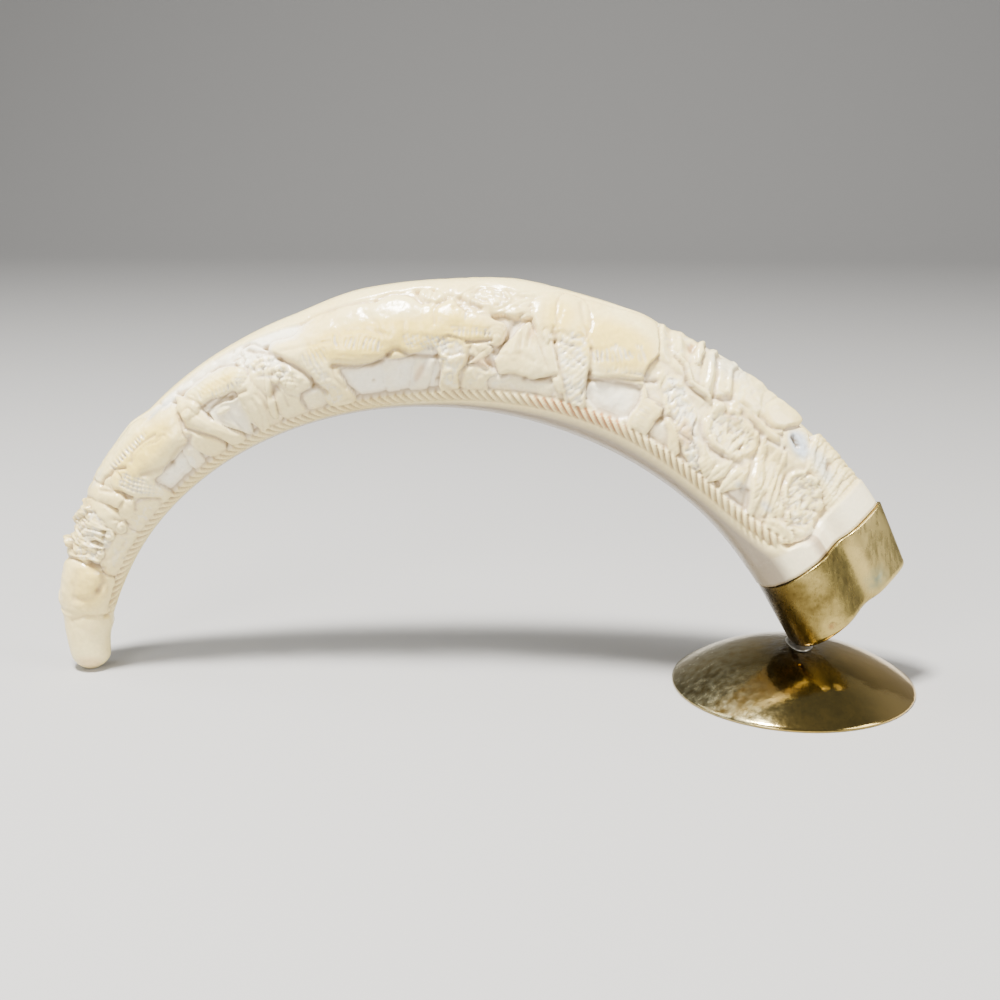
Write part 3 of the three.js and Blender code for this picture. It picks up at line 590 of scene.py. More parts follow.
def broad_beast():
    """A broad smooth beast with its head towards the tip."""
    return [
        figure(-1.7, -0.9, 4, oval(62, -7.5, 9, 5.5)),
        figure(-1.9, -1.4, 1.5, limb((88.5, -2, 2.4), (85.5, -11, 2.2))),
        *cross_hatch(0.5, 25, limb((66.5, 3, 3), (68, -2, 3), (69.5, -7, 2.2))),
        figure(
            -1.2,
            0.25,
            7,
            oval(77, 7.5, 15.6, 10.8),
            oval(64, 13, 10.5, 7),
            limb((74, 2.4, 4), (86.5, 1.4, 3.9)),
            limb((66.8, 5, 3.8), (67.6, -2, 3.2), (69.4, -9, 2.6)),
            blend=4,
        ),
        swell(0.3, 3, limb((76, 1.4, 3.6), (87, 1, 3.4))),
        swell(-0.3, 2, limb((70, 4.4, 1.6), (75, 5.6, 1.2), (82, 4.6, 0.8))),
        figure(-0.9, 0.1, 2.6, limb((56.5, 13.5, 2.2), (58.2, 7, 2.8), (59.8, 1, 2.4))),
        figure(-1.2, -0.5, 2.4, oval(59.5, -2.6, 3.6, 2.8)),
        cut(0.8, 0.38, (58.6, 8), (60.6, 4.6), (62.9, 1.8), (63.2, -1.5)),
        cut(0.9, 0.4, (60.4, -4.6), (62.6, -3.4), (64.6, -4.2), (66.2, -6.4), (67.6, -8.8)),
        figure(-0.8, 0.1, 1.6, oval(64.2, 5.2, 1.9, 2.6, -25)),
        cut(1.1, 0.4, (60, 8.6), (62.2, 9), (64, 8), (65.8, 8.4), (66.8, 7.4), (69, 5.4)),
        hatch(0.8, 1.25, 10, limb((66.6, 9.4, 1.7), (70, 8.6, 1.7), (79, 8, 1.6))),
        cut(0.7, 0.35, (71.8, 5.2), (73.6, 6.9), (76.5, 6.9), (79.4, 6.4), (82.4, 5.6)),
        figure(-0.4, 0.35, 1, limb((77.6, 5.6, 0.6), (84.8, 3.4, 0.4)), moat=0),
        cut(0.8, 0.7, (71, 0.2), (75, -2), (78.2, -3.7), (80.4, -3.8)),
        cut(0.9, 0.7, (80.4, -3.8), (82, -2.6), (85, -2.1), (88, -2.8), (90.4, -1.6)),
        crumple(0.35, 2.0, 43, limb((73, -6, 3), (84, -7, 3)), oval(60, -7, 5, 3)),
        cut(0.25, 0.4, (88.6, -4), (86, -7), (83.6, -9.4)),
        cut(0.2, 0.4, (53, 0), (57, -1.6), (58, -6)),
    ]


def big_cat():
    """A big cat on a branch."""
    door = plate((99.4, 1.8), (99.8, -2.5), (103, -7.6), (107, -11.5), (109.6, -6), (110, 0.6))
    return [
        figure(-1.1, -0.5, 3, limb((90, 14.2, 2.6), (104, 15.2, 3.2), (129, 14.8, 3.4))),
        figure(-0.9, -0.2, 1.6, oval(101, 14.3, 2.2, 1.6), oval(104.6, 15.4, 2.6, 1.9)),
        figure(-0.9, -0.3, 1.6, oval(97, 13.2, 2.4, 1.5, 20), oval(110.5, 14.8, 3, 1.8, -20)),
        figure(-1.6, -0.8, 4, oval(114, -5, 6, 8), oval(94, -3, 5, 9)),
        figure(-1.2, -0.4, 3, limb((112.6, 5, 3.4), (113, -4, 2.8), (111, -11.5, 1.7))),
        figure(-0.8, -1.9, 2.4, door, moat=0),
        swell(0.7, 1.6, oval(103.8, -0.8, 2.8, 1.6)),
        swell(0.4, 1.2, limb((102.2, -3, 1.2), (104.4, -8, 1))),
        cut(0.35, 0.5, (104.6, -2), (105, -8)),
        figure(-1.4, -0.4, 2, limb((93.6, 4.5, 2.2), (97, -3.2, 2.4), (102, -11, 1.9))),
        cut(1.1, 0.45, (91.6, 6), (91, 1.4), (93.4, -2.2), (95.6, -5.2), (98.4, -10.4)),
        cut(0.3, 0.45, (96, 3.6), (98.6, -2.6), (101.4, -7), (104.6, -10.6)),
        figure(-1.0, 0.2, 5, limb((98, 8, 3.8), (104, 8.4, 4.6), (110.5, 7.4, 4.9)), blend=3),
        swell(0.25, 2.4, oval(111, 7.4, 4, 4.2)),
        swell(0.2, 2.2, oval(102, 9, 3.6, 3)),
        cut(0.3, 0.4, (99.6, 10.8), (103, 12.4), (106, 12.6)),
        cut(1.0, 0.4, (105, 12.6), (107.6, 12.8), (110, 11.6), (112.4, 10)),
        cut(0.6, 0.4, (112.4, 9.8), (114.4, 7.6), (115, 5.4)),
        hatch(0.5, 1.25, 60, oval(112.6, 6.6, 2.8, 3.6)),
        hatch(0.75, 1.2, -6, limb((103.6, 4.9, 1.5), (111, 4.1, 1.4))),
        hatch(0.25, 1.3, 30, limb((100, 8.6, 2.6), (108, 8.4, 3))),
        cut(1.1, 0.45, (99, -0.4), (99.6, 1.2), (103, 2), (105.4, 2.5), (107.6, 1.3)),
        cut(0.9, 0.42, (107.6, 1.3), (109.4, 1.6), (112.4, 1.2)),
        figure(-0.7, 0.25, 2.6, oval(95, 6.2, 3.4, 3.6), limb((93.4, 11.5, 1), (94.6, 8.5, 1.4))),
        figure(-0.6, 0.15, 1.2, oval(93.8, 4.4, 1.8, 1.7)),
        cut(0.9, 0.35, (95.4, 9.6), (97.2, 6.9), (98.4, 4.9), (99.4, 3.4)),
        hatch(0.6, 1.15, 0, oval(99.8, 6.6, 1.9, 1.7)),
        cut(1.2, 0.4, (93.6, 13.6), (94.2, 12.2), (95.4, 11.4)),
        cut(0.3, 0.35, (112.8, 16), (111.6, 12.8)),
    ]


def tree_trunk():
    """A knotted tree trunk with a rock at its foot."""
    rng = np.random.default_rng(11)
    knots = []
    for i in range(26):
        row, place = i // 4, i % 4
        along = 114.4 + row * 1.5 + place * 2.1 + rng.uniform(-0.5, 0.5)
        across = 10.8 - row * 2.1 - place * 0.5 + rng.uniform(-0.5, 0.5)
        size = rng.uniform(0.75, 1.2)
        knots.append(figure(-1.1, -0.2 - 0.3 * rng.random(), 0.9, oval(along, across, size, size)))
    boundary = [(116.9, 13.4), (119, 11), (121.6, 9.4), (123.8, 7.6), (125, 5.8)]
    slope = [(125, 5.8), (127.8, 2.8), (130, 0), (131.6, -2.8), (132.4, -5), (134.2, -8)]
    mound = [(132.4, -5.1), (129.4, -5.8), (127, -6.2), (126.3, -8), (126.6, -10.2)]
    return [
        figure(-1.5, -0.8, 4, limb((117, 13, 2.6), (120, 5, 5.2), (124, -6, 7))),
        crumple(0.7, 1.9, 45, limb((115.5, 12, 2.6), (119.5, 6, 4), (124, 3, 3.4))),
        figure(-1.5, -0.7, 4, oval(127, -1, 5.2, 5.4), moat=0),
        figure(-1.8, -1.3, 2, oval(130, -9, 4.6, 3.4)),
        *knots,
        figure(-1.3, -0.3, 0.9, oval(113.4, 10.4, 1.6, 1.5)),
        cut(0.4, 0.3, (112.8, 10.4), (113.6, 10.9), (114, 10)),
        figure(-1.4, -0.3, 0.9, limb((116.2, -9.4, 1.1), (118.4, -2, 1), (120.4, 4.6, 0.8))),
        cut(0.4, 0.35, (117.6, -9), (119.4, -3), (121.4, 2.6)),
        cut(1.1, 0.8, (118.8, -3.2), (120.8, -1.4)),
        cut(0.5, 0.4, (121, -1.4), (122, -4), (121.6, -8)),
        cut(0.35, 0.4, (113, -2), (112.6, -8), (110, -12)),
        cut(0.35, 0.35, (114.6, -1), (115.4, -6)),
        hatch(0.25, 1.3, 55, oval(127, -1, 4, 4)),
        cut(1.1, 0.5, *boundary),
        cut(1.3, 0.6, *slope),
        cut(1.1, 0.5, *mound),
    ]


def rhinoceros():
    """It walks towards the collar, at the top of the arch."""
    back = [(133.4, 15), (135.4, 16.4), (140, 16.7), (145, 17.1), (151, 16.5), (153, 16.6)]
    hump = [(153, 16.6), (155, 18), (157, 18.9), (160, 18.2), (162.6, 16.5), (165, 14.2)]
    belly = [(138.8, -0.6), (141.4, -1.2), (145, -2.1), (149.8, -2.4), (153, -1.5), (155, -0.2)]
    brisket = [(155, -0.2), (156.6, 1.1), (158, 1.1), (161, -0.8), (165, -1.2), (169, -1.3)]
    foreleg = limb((173.2, 3, 5.2), (173.6, -4, 4), (172.6, -9, 3.4))
    hind_leg = limb((135, 4, 5), (135.6, -3, 4), (138.6, -12.6, 4.2))
    head = [limb((164, 8.5, 7), (171, 9, 6.6)), limb((172, 9.8, 5.6), (179, 8, 3.8))]
    return [
        figure(-2.2, -1.9, 2, limb((155.4, 0, 2.4), (154.6, -12.5, 2)), moat=0),
        figure(-2.2, -1.6, 1.6, limb((166, 0, 3.2), (162.8, -11, 2.6))),
        cut(0.5, 0.8, (166, -2.6), (163.6, -6), (161, -9.2)),
        figure(
            -1.3,
            0.2,
            6,
            oval(138.5, 8.3, 8.5, 9.2),
            limb((125.5, 9.4, 3.2), (131, 6.5, 5)),
            oval(147, 7.8, 10.4, 10.4),
            oval(157.5, 9.3, 10, 10.8),
            *head,
            limb((179, 8, 3.8), (184.3, 6.2, 3.4)),
            hind_leg,
            foreleg,
            blend=3,
        ),
        swell(0.35, 4, oval(157.5, 11, 7.5, 8.5)),
        swell(0.3, 3, oval(147, 2.2, 7.5, 4.4, -6)),
        swell(0.25, 3, oval(137, 9.5, 6.5, 6)),
        swell(0.3, 3, oval(172.5, 11.5, 5, 4.6)),
        cut(0.7, 0.38, *back),
        cut(0.25, 0.5, (137.6, 13.6), (139.4, 15.6), (142, 16.6)),
        cut(0.7, 0.38, *hump),
        cut(0.22, 0.6, (149.5, 13), (152.6, 9.6), (153.6, 6)),
        cut(0.35, 0.4, (125.6, 7.9), (128.6, 7.5), (133, 7), (139.4, 6.4)),
        cut(0.2, 0.5, (145, 8.4), (150, 7.8), (156, 5.4)),
        hatch(0.5, 1.25, 12, oval(134.4, 3.2, 4.4, 3.6)),
        hatch(0.65, 1.3, 6, oval(141.3, 6.4, 1.9, 2.4)),
        hatch(0.6, 1.3, -24, limb((144, 5, 1.8), (147.6, 4.4, 2.4), (152.4, 3, 2))),
        hatch(0.25, 1.5, 80, limb((140, 1.4, 1.6), (147, 0.4, 1.6), (153, 1.6, 1.6))),
        *cross_hatch(0.45, 20, limb((161, 3.6, 2.4), (170, 2.2, 2.8))),
        crumple(0.5, 1.5, 21, limb((173, 0, 4), (173, -8, 3))),
        crumple(0.4, 1.6, 23, limb((134, -2, 3), (136.6, -10, 3))),
        hatch(0.15, 1.3, 0, oval(156.6, 15.4, 2.4, 1.8)),
        cut(1.4, 0.55, *belly),
        cut(1.3, 0.5, *brisket),
        cut(0.7, 0.45, (169, -1.3), (170.4, -2.4), (170.2, -5.4), (168.8, -8.2)),
        cut(0.5, 0.45, (168.8, -8.2), (171, -10.4), (173.4, -11.3), (176.4, -11)),
        cut(0.7, 0.45, (178, 1.6), (177.6, -1.6), (176.2, -5.4), (175.6, -9.4)),
        cut(0.5, 0.45, (138.4, -1), (138.2, -4.6), (141, -8), (144.4, -12)),
        cut(0.3, 0.45, (138, -12.5), (146, -12.8), (152, -12.6), (153, -10)),
        cut(0.3, 0.5, (160.2, 8.4), (159.8, 4.4), (160.4, 0.4)),
        cut(0.7, 0.4, (149.4, -7.2), (149.6, -7)),
        figure(-0.6, 0.4, 1.2, oval(166, 17.2, 2.2, 2.5)),
        figure(-0.6, 0.45, 1.2, limb((168.6, 20.1, 0.6), (169, 16, 1.8))),
        cut(0.5, 0.3, (165.6, 15.4), (166.2, 18.6)),
        cut(0.5, 0.3, (168.2, 15.6), (168.7, 19)),
        cut(0.4, 0.4, (163.6, 17.2), (165.2, 15.8), (166.4, 14.4)),
        figure(-1.2, -0.6, 1.5, limb((172, 2, 3), (179, 1.4, 1.8), (183, 1.8, 1.1))),
        cut(0.4, 0.4, (168.2, 8), (168, 12), (169.6, 15), (172, 16.4)),
        cut(0.8, 0.38, (171.6, 17), (174, 15.9), (177.4, 14.2), (180, 12.8)),
        cut(0.4, 0.32, (173.2, 12.6), (175.2, 13.6), (177.6, 13.2), (179.2, 12)),
        hatch(0.6, 1.15, 0, oval(176.4, 10.6, 1.7, 2.1)),
        hatch(0.45, 1.2, 0, limb((174.6, 5.8, 1.7), (182.6, 6.1, 1.6))),
        hatch(0.3, 1.3, 90, limb((173.6, 7, 1.8), (182.6, 6.4, 1.6))),
        *nostril_rings(),
        cut(1.5, 0.38, (177, 3.1), (180, 3.5), (183.6, 4.2)),
    ]


def nostril_rings():
    rings = []
    for radius in (1.3, 2.3, 3.3):
        turns = [math.radians(turn) for turn in range(-60, 181, 24)]
        arc = [(185 + radius * math.cos(t), 5 + radius * math.sin(t)) for t in turns]
        rings.append(cut(0.4, 0.3, *arc))
    return rings


def snout_leaves():
    """Above the snout a ring of leaves, below it a rock and a forked twig."""
    rim = [(177.6, 17.8), (179.4, 19.2), (182, 19.5), (184.6, 18.6), (186.3, 16.2)]
    return [
        figure(-1.1, -0.7, 2, oval(182, 16, 9, 5.6), oval(190, 15.5, 5.5, 4.6)),
        figure(-0.8, -0.3, 1.6, plate((173.6, 16.4), (180, 23), (187, 20), (180, 17))),
        figure(-0.7, 0.0, 1.4, oval(181.4, 16.2, 5.9, 3.7)),
        swell(-0.7, 1.2, oval(181.6, 16.2, 4.6, 2.5)),
        figure(-0.9, -0.3, 1, oval(180.6, 16.8, 2.6, 1.3, -20)),
        figure(-0.9, -0.3, 1, oval(183, 15.6, 2.5, 1.2, -35)),
        crumple(0.35, 1.3, 47, oval(181.4, 16.2, 5.9, 3.7)),
        cut(0.8, 0.4, *rim),
        cut(0.4, 0.4, (186.3, 16.2), (185.6, 14.6), (183, 13.2), (180, 12.9), (177.4, 14)),
        *leaf(-0.9, -0.2, (185.6, 11.6), (194.5, 19), 1.7),
        *leaf(-0.9, -0.2, (184, 11.4), (193.4, 14.4), 1.5),
        *leaf(-0.8, -0.2, (188, 18), (192.6, 20.6), 1.3),
        cut(0.6, 0.35, (182.8, 11.4), (185, 11)),
        figure(-1.5, -0.8, 4, oval(181.3, -7.6, 6.6, 5)),
        cut(0.5, 0.45, (176.8, -4.2), (178.6, -3.3), (180.4, -3.2), (183, -4.4)),
        figure(-1.4, -0.8, 0.7, limb((178.6, 1.8, 0.6), (180.4, -0.8, 0.7), (183.6, -3.6, 0.7))),
        figure(-1.4, -0.8, 0.7, limb((183, 1.2, 0.7), (180.4, -1.4, 0.6), (178, -3, 0.6))),
        cut(0.5, 0.4, (183, 0.8), (183.8, -1.6), (185, -4.2)),
        crumple(0.3, 1.8, 49, oval(181.3, -7.6, 6, 4)),
    ]


def pointed_hill():
    """A pointed hill with a draped lower edge, before the elephant's trunk."""
    hill = plate((191.8, 12.4), (188.2, 5), (184.6, 0.6), (186.6, -5.3), (197, -5.2), (203.2, -2))
    return [
        figure(-1.8, -1.3, 3, limb((187, -8.2, 3.2), (204, -8, 3.2))),
        figure(-1.0, -0.5, 3, hill),
        swell(0.3, 1.4, oval(192.6, 8.6, 1.7, 2.6)),
        swell(0.3, 1.4, limb((190.4, 7, 1), (190.2, 1, 1.8))),
        swell(0.25, 1.4, limb((194.6, 8, 1), (198, -0.5, 1.6))),
        cut(0.35, 0.4, (191.8, 8.2), (191.6, 3), (192.6, 0.8)),
        cut(0.3, 0.35, (193.6, 8.4), (193.5, 4)),
        cut(0.2, 0.5, (185, 0.8), (189, 0.6), (192.6, 2), (196, 0.4)),
        cut(1.0, 0.5, (190.6, 12), (189, 9.8), (188.3, 6.6), (187.2, 3.4), (184.8, 1)),
        cut(1.1, 0.45, (188, -5.7), (189.6, -4.8), (191.6, -4.6), (194.6, -5.1)),
        cut(1.1, 0.45, (194.6, -5.1), (197.6, -5.4), (200, -4), (203, -2.2)),
        crumple(0.3, 2.0, 51, limb((188, -9, 2.4), (203, -9, 2.4))),
    ]


def elephant():
    """It walks towards the tip."""
    trunk = limb((196, 14, 3.2), (198, 7, 2.4), (201.5, 1, 1.7), (205.6, -5.4, 1.4))
    foreleg = limb((205.4, 6.6, 4.8), (207.4, 0.5, 4.1), (210.6, -8.8, 2.8))
    rear_edge = [(204.6, 21), (205.4, 17.4), (206.6, 14), (208.4, 10.6), (210.4, 7.6)]
    flank_edge = [(210.4, 7.6), (211.4, 4), (212.2, 0), (211.6, -5)]
    belly = [(212.6, -0.8), (215, 0.5), (219.4, 2.2), (224, 3.6), (229.6, 5.6)]
    moon = [(213, -1), (213.4, -4), (216, -7.2), (220, -8.4), (224.4, -8), (227.6, -5.6)]
    return [
        figure(-1.7, -1.2, 2, limb((212, -8.6, 2), (230, -9, 2)), moat=0),
        figure(-1.4, -2.6, 2.4, oval(221, -2.2, 8.4, 6.6), moat=0),
        figure(-1.0, -0.4, 1.8, trunk),
        figure(-1.1, -0.4, 3, limb((230, 8, 4.6), (231.6, 0, 3.6), (230.6, -8.4, 3.4))),
        hatch(0.3, 1.4, 80, limb((230.4, 2, 2.8), (230.4, -8.4, 2.8))),
        figure(-1.0, 0.0, 2.8, foreleg),
        crumple(0.45, 1.9, 53, foreleg),
        hatch(0.35, 1.5, -35, foreleg),
        figure(-1.1, -0.4, 1.5, limb((214, 1.8, 1.6), (228, 6, 2.6))),
        figure(-0.8, 0.3, 8, oval(213.5, 13.8, 16, 11.6, -6), oval(224, 12.5, 8.5, 9), blend=3),
        swell(0.3, 5, oval(215, 12.5, 10, 8)),
        figure(-0.6, 0.3, 4, oval(198.8, 15.2, 6, 8.4, 10)),
        figure(-0.4, 0.5, 3, oval(203.6, 15.2, 4.9, 8.4, 12)),
        cut(0.2, 0.6, (196.2, 18), (196.4, 13), (197.6, 9)),
        cut(0.2, 0.6, (200.6, 18.4), (200.4, 13.4), (199.4, 10)),
        cut(0.6, 0.4, (199.4, 10.6), (199.5, 8.2)),
        cut(0.5, 0.4, (199.5, 9), (202, 9.9), (204.8, 8.9), (207, 10.2)),
        figure(-0.7, 0.1, 0.7, limb((197.9, 9, 0.8), (198.6, 6.2, 0.6))),
        cut(0.4, 0.5, *rear_edge),
        cut(0.9, 0.42, *flank_edge),
        cut(0.8, 0.42, (200.4, 8.6), (200.8, 5.6), (203.2, 0.6), (206.2, -4.4), (209, -9)),
        hatch(0.7, 1.25, 28, limb((212.6, 6.4, 2.4), (218, 8.8, 2.8))),
        hatch(0.6, 1.25, 45, limb((217, 9.6, 2.4), (220.6, 9.4, 2))),
        hatch(0.5, 1.3, 30, limb((222.4, 12.4, 1.8), (224.4, 10, 1.8))),
        hatch(0.25, 1.3, 30, limb((213, 3, 1.8), (226, 7, 1.8))),
        crumple(0.5, 1.0, 55, limb((216, 3.4, 0.9), (226.6, 6, 0.9))),
        cut(1.2, 0.42, *belly),
        cut(0.4, 0.4, (221.6, 4.4), (225, 5.8), (227.4, 6.3)),
        cut(0.2, 0.8, *moon, (229.2, -1.6), (229.2, 1.4)),
    ]


def branch_and_plates():
    """A branch crossing behind the elephant, and bark plates along the back."""
    branch = limb((234.6, 6.4, 3.4), (242, 0.4, 3.4), (251.5, -9, 2))
    bark = plate(
        (223.6, 27), (242, 26), (250.4, 22), (252.6, 13), (246, 9.8), (238, 10.6), (228, 12)
    )
    return [
        figure(-1.7, -1.2, 3, oval(234, 8, 8, 8), oval(246, 6, 6, 8), moat=0),
        figure(-2.1, -1.5, 3, oval(239.5, -6, 5, 3.8), moat=0),
        figure(-1.5, -0.6, 1.4, limb((230.6, 7.4, 1.8), (236.6, 1, 1.9), (243.6, -8.6, 1.6))),
        figure(-1.4, -0.4, 2, branch),
        crumple(0.9, 1.5, 31, branch),
        hatch(0.3, 1.3, 52, branch),
        cut(1.2, 0.45, (234.6, -4), (235.8, -2), (237.4, -0.6), (239.2, -1)),
        cut(0.4, 0.4, (231.4, 6), (233.4, 2.6), (235.2, -0.8)),
        figure(-1.2, -0.6, 1.8, bark),
        swell(0.5, 1.6, limb((225.4, 25, 1.4), (228, 14, 1.6))),
        swell(0.4, 1.4, limb((230.4, 24, 1.1), (232.8, 15, 1.3))),
        swell(0.7, 1.5, limb((239.6, 25, 1.3), (243, 11.4, 1.5))),
        swell(0.6, 1.3, limb((245.4, 23, 1.1), (248.2, 13.6, 1.3))),
        crumple(0.3, 2.6, 63, bark),
        cut(0.5, 0.5, (227.6, 24), (229.4, 17), (231.2, 12)),
        cut(0.4, 0.4, (232.4, 22), (234.6, 15)),
        figure(-0.7, 0.6, 1, limb((236.4, 28, 0.8), (236.8, 21, 1.2), (237.6, 16.6, 0.8))),
        cut(1.2, 0.9, (234.3, 21.2), (234.7, 19.8)),
        cut(0.4, 0.4, (238.4, 20), (239, 15), (240, 11.6)),
        cut(0.9, 0.45, (241.6, 23), (243.6, 16.4), (245.4, 9.8)),
        cut(0.6, 0.4, (247, 21), (249, 15.4), (250.2, 12.6)),
        cut(0.9, 0.45, (245.8, 10.2), (247.8, 10.7), (250.2, 12.2)),
        figure(-0.9, 0.1, 0.7, limb((230.4, 16.2, 0.5), (235, 14.5, 0.7), (238.4, 10, 0.7))),
        figure(-0.9, 0.1, 0.7, limb((238.4, 10, 0.7), (243.4, 9.6, 0.7), (246.6, 7.8, 0.5))),
        cut(0.8, 0.4, (231.6, 14.8), (234.8, 13.2), (237.6, 9.4), (240, 8.4), (243.6, 8.4)),
    ]


def flower(along, across, half_length, half_height, turn):
    """A flower of crumpled petals, seen face on."""
    c, s = math.cos(math.radians(turn)), math.sin(math.radians(turn))
    heart = oval(along, across, half_length * 0.85, half_height * 0.85, turn)
    petals = [figure(-1.2, -0.6, 2.4, oval(along, across, half_length, half_height, turn))]
    rng = np.random.default_rng(int(along))
    for reach, count, size in ((0.74, 9, 0.36), (0.46, 7, 0.32), (0.2, 4, 0.24)):
        for i in range(count):
            angle = 2 * math.pi * (i + reach) / count + rng.uniform(-0.25, 0.25)
            u, v = half_length * reach * math.cos(angle), half_height * reach * math.sin(angle)
            middle = (along + u * c - v * s, across + u * s + v * c)
            long = half_length * size * rng.uniform(0.8, 1.1)
            wide = half_height * size * rng.uniform(0.6, 0.8)
            lean = turn + math.degrees(angle) + 90 + rng.uniform(-30, 30)
            crown = 0.05 - 0.5 * (1 - reach) + rng.uniform(-0.15, 0.2)
            petals.append(figure(-1.0, crown, 0.9, oval(*middle, long, wide, lean), moat=0.15))
    return [*petals, crumple(0.5, 1.3, int(along), heart)]


def leaf(edge, crown, start, end, width):
    """A leaf with a midrib line and faint side folds."""
    middle = (mix(start[0], end[0], 0.5), mix(start[1], end[1], 0.5))
    lean = math.degrees(math.atan2(end[1] - start[1], end[0] - start[0]))
    blade = limb((*start, 0.6), (*middle, width), (*end, 0.7))
    return [
        figure(edge, crown, width, blade),
        cut(0.3, 0.3, start, middle, end),
        hatch(0.16, 1.4, lean + 30, blade),
    ]


def foliage():
    """Flowers and leaves fill the carving next to the collar."""
    blades = []
    for i in range(6):
        blades += leaf(-0.9, -0.1 - 0.15 * (i % 2), (273.5 + 3.1 * i, 28), (279 + 2.1 * i, 9), 2.5)
    return [
        figure(-1.5, -1.1, 3, oval(258, 4, 14, 12), oval(280, 4, 12, 14), moat=0),
        figure(-1.1, -0.5, 3, oval(258, 17.4, 3.8, 4.4)),
        figure(-1.1, -0.1, 3, limb((251.8, 28, 0.8), (251.8, 21, 3.2), (254, 14, 4.6))),
        crumple(0.25, 2.2, 57, limb((251.8, 24, 2), (254, 14, 4.6))),
        cut(0.2, 0.5, (251.8, 25), (253.4, 19), (257, 14.6)),
        cut(0.15, 0.5, (249.8, 20), (251, 15.4)),
        figure(-1.1, -0.3, 2.4, oval(263.3, 18, 5.2, 5, 25)),
        cut(1.0, 0.4, (261.6, 12.8), (264, 13.6), (266.4, 15.6), (268.2, 19)),
        figure(-1.0, -0.5, 1.4, limb((250.6, 12.6, 0.8), (258, 12, 1.2), (265.6, 11.4, 1.1))),
        cut(0.6, 0.5, (254.4, 10.4), (259.6, 9.7), (263, 9.2), (267.4, 10.6)),
        figure(-1.4, -0.9, 2, oval(271, 15.5, 5, 4.6)),
        cut(2.8, 0.4, (269.2, 15.3), (270.4, 14.9), (271.6, 14.4)),
        crumple(0.3, 1.5, 59, oval(271, 16.5, 4, 3)),
        *flower(254.6, 4.6, 9, 6.2, -4),
        cut(0.7, 0.8, (246.2, 1.4), (248.4, -1), (252, -1.9), (256.4, -1.6)),
        cut(0.5, 0.6, (256.4, -1.6), (260, -0.4), (263.4, -0.6)),
        *leaf(-1.3, -0.4, (250.5, -2), (257, -10), 2.6),
        *leaf(-1.2, -0.4, (259.5, -1), (257.6, -10), 2.2),
        *leaf(-1.2, -0.4, (264.6, 1), (262.6, -10), 3),
        cut(0.7, 0.4, (261.2, -1.8), (260.9, -5.8), (259.4, -9.6)),
        *leaf(-1.1, -0.4, (268.4, 9.6), (272, -4.5), 3.4),
        *leaf(-1.1, -0.1, (263.4, 9), (274.6, -9.5), 2.1),
        cut(0.6, 0.5, (264, 3), (266.6, -3), (270.6, -8.2)),
        *leaf(-1.2, -0.5, (275, 4), (281.6, -6), 3.4),
        *leaf(-1.1, -0.2, (270, 10.4), (279.5, -9.4), 1.9),
        cut(0.6, 0.45, (272.4, 7.4), (274.6, 0.6), (277, -4.2), (279.8, -9)),
        cut(0.7, 0.5, (266, -4.6), (267.4, -6.2)),
        *blades,
        cut(1.1, 0.7, (281, 18.6), (281.8, 16.8)),
        *flower(282.8, 4.6, 8.6, 6, -38),
        cut(0.5, 0.5, (277.6, 8.6), (276.6, 6.4), (279, 3), (283, -0.4), (285.4, -1.6)),
        cut(0.5, 0.45, (286, -1), (288.4, 1.4), (289.6, 4)),
        figure(-1.2, -0.3, 1.8, oval(283.4, -5.8, 6, 3, 10)),
        cut(0.3, 0.35, (278.8, -7.4), (283, -5.4), (288.4, -5.6)),
        cut(0.5, 0.4, (277.6, -6.8), (280.6, -4), (284.4, -3.2), (289.6, -6.2)),
        *leaf(-1.2, -0.6, (285, -2), (291.6, 1.4), 2.4),
    ]


def carving():
    return [
        *tip_head(),
        *mane(),
        *broad_beast(),
        *big_cat(),
        *tree_trunk(),
        *rhinoceros(),
        *snout_leaves(),
        *pointed_hill(),
        *elephant(),
        *branch_and_plates(),
        *foliage(),
    ]


def skin_marks():
    """Shallow marks that run past the carved field, and patches of colour."""
    return [
        cut(0.5, 0.45, (17.4, 3.4), (18.4, 1), (19.8, -2), (20.1, -6), (20.8, -11)),
        cut(0.14, 0.4, (16, 3), (14.8, -1), (13, -4.4)),
        cut(0.12, 0.4, (13, -1.6), (10.2, -3.2), (9.4, -5.6), (10.8, -7)),
        cut(0.5, 0.4, (88.4, 10.6), (90, 10.9), (91.4, 11.2)),
        cut(0.12, 0.5, (213, -20.4), (250, -20.6), (288, -20)),
        swell(0.6, 3, oval(87, 12.5, 6, 2.4), kind="blue"),
        swell(1.0, 3, oval(271.5, 15, 5.6, 4.4, -20), kind="blue"),
        swell(0.5, 3, oval(280, 16, 6.5, 4, -20), kind="blue"),
        swell(0.6, 2, oval(266, -5, 3, 2), oval(276, -4, 3, 2), kind="blue"),
        swell(0.4, 4, oval(245, 21, 8, 5), oval(60, 12, 5, 3), kind="blue"),
        swell(0.8, 2, oval(258, 12, 2.4, 1.2), oval(252, 8, 3.4, 1.4), kind="brown"),
        swell(1.0, 1.5, oval(234.5, 20.4, 1.3, 3), kind="brown"),
        swell(0.7, 2, oval(182, -2.4, 4, 2.4), oval(194, 7.6, 2, 2.4), kind="brown"),
        swell(0.6, 2, oval(163.5, -6, 2, 4, -30), oval(244, -2.6, 5, 3, -45), kind="brown"),
        swell(0.5, 3, oval(3, -1, 4, 6), kind="brown"),
        swell(1.1, 5, oval(152, 5, 22, 8), oval(176, 6, 9, 6), blend=4, kind="gold"),
        swell(0.9, 6, oval(76, 5, 15, 8), oval(106, 7, 9, 5), kind="gold"),
        swell(0.9, 6, oval(216, 11, 14, 10), oval(200, 14, 7, 8), kind="gold"),
        swell(0.7, 5, oval(30, -1, 10, 8), oval(170, 11, 8, 6), kind="gold"),
    ]


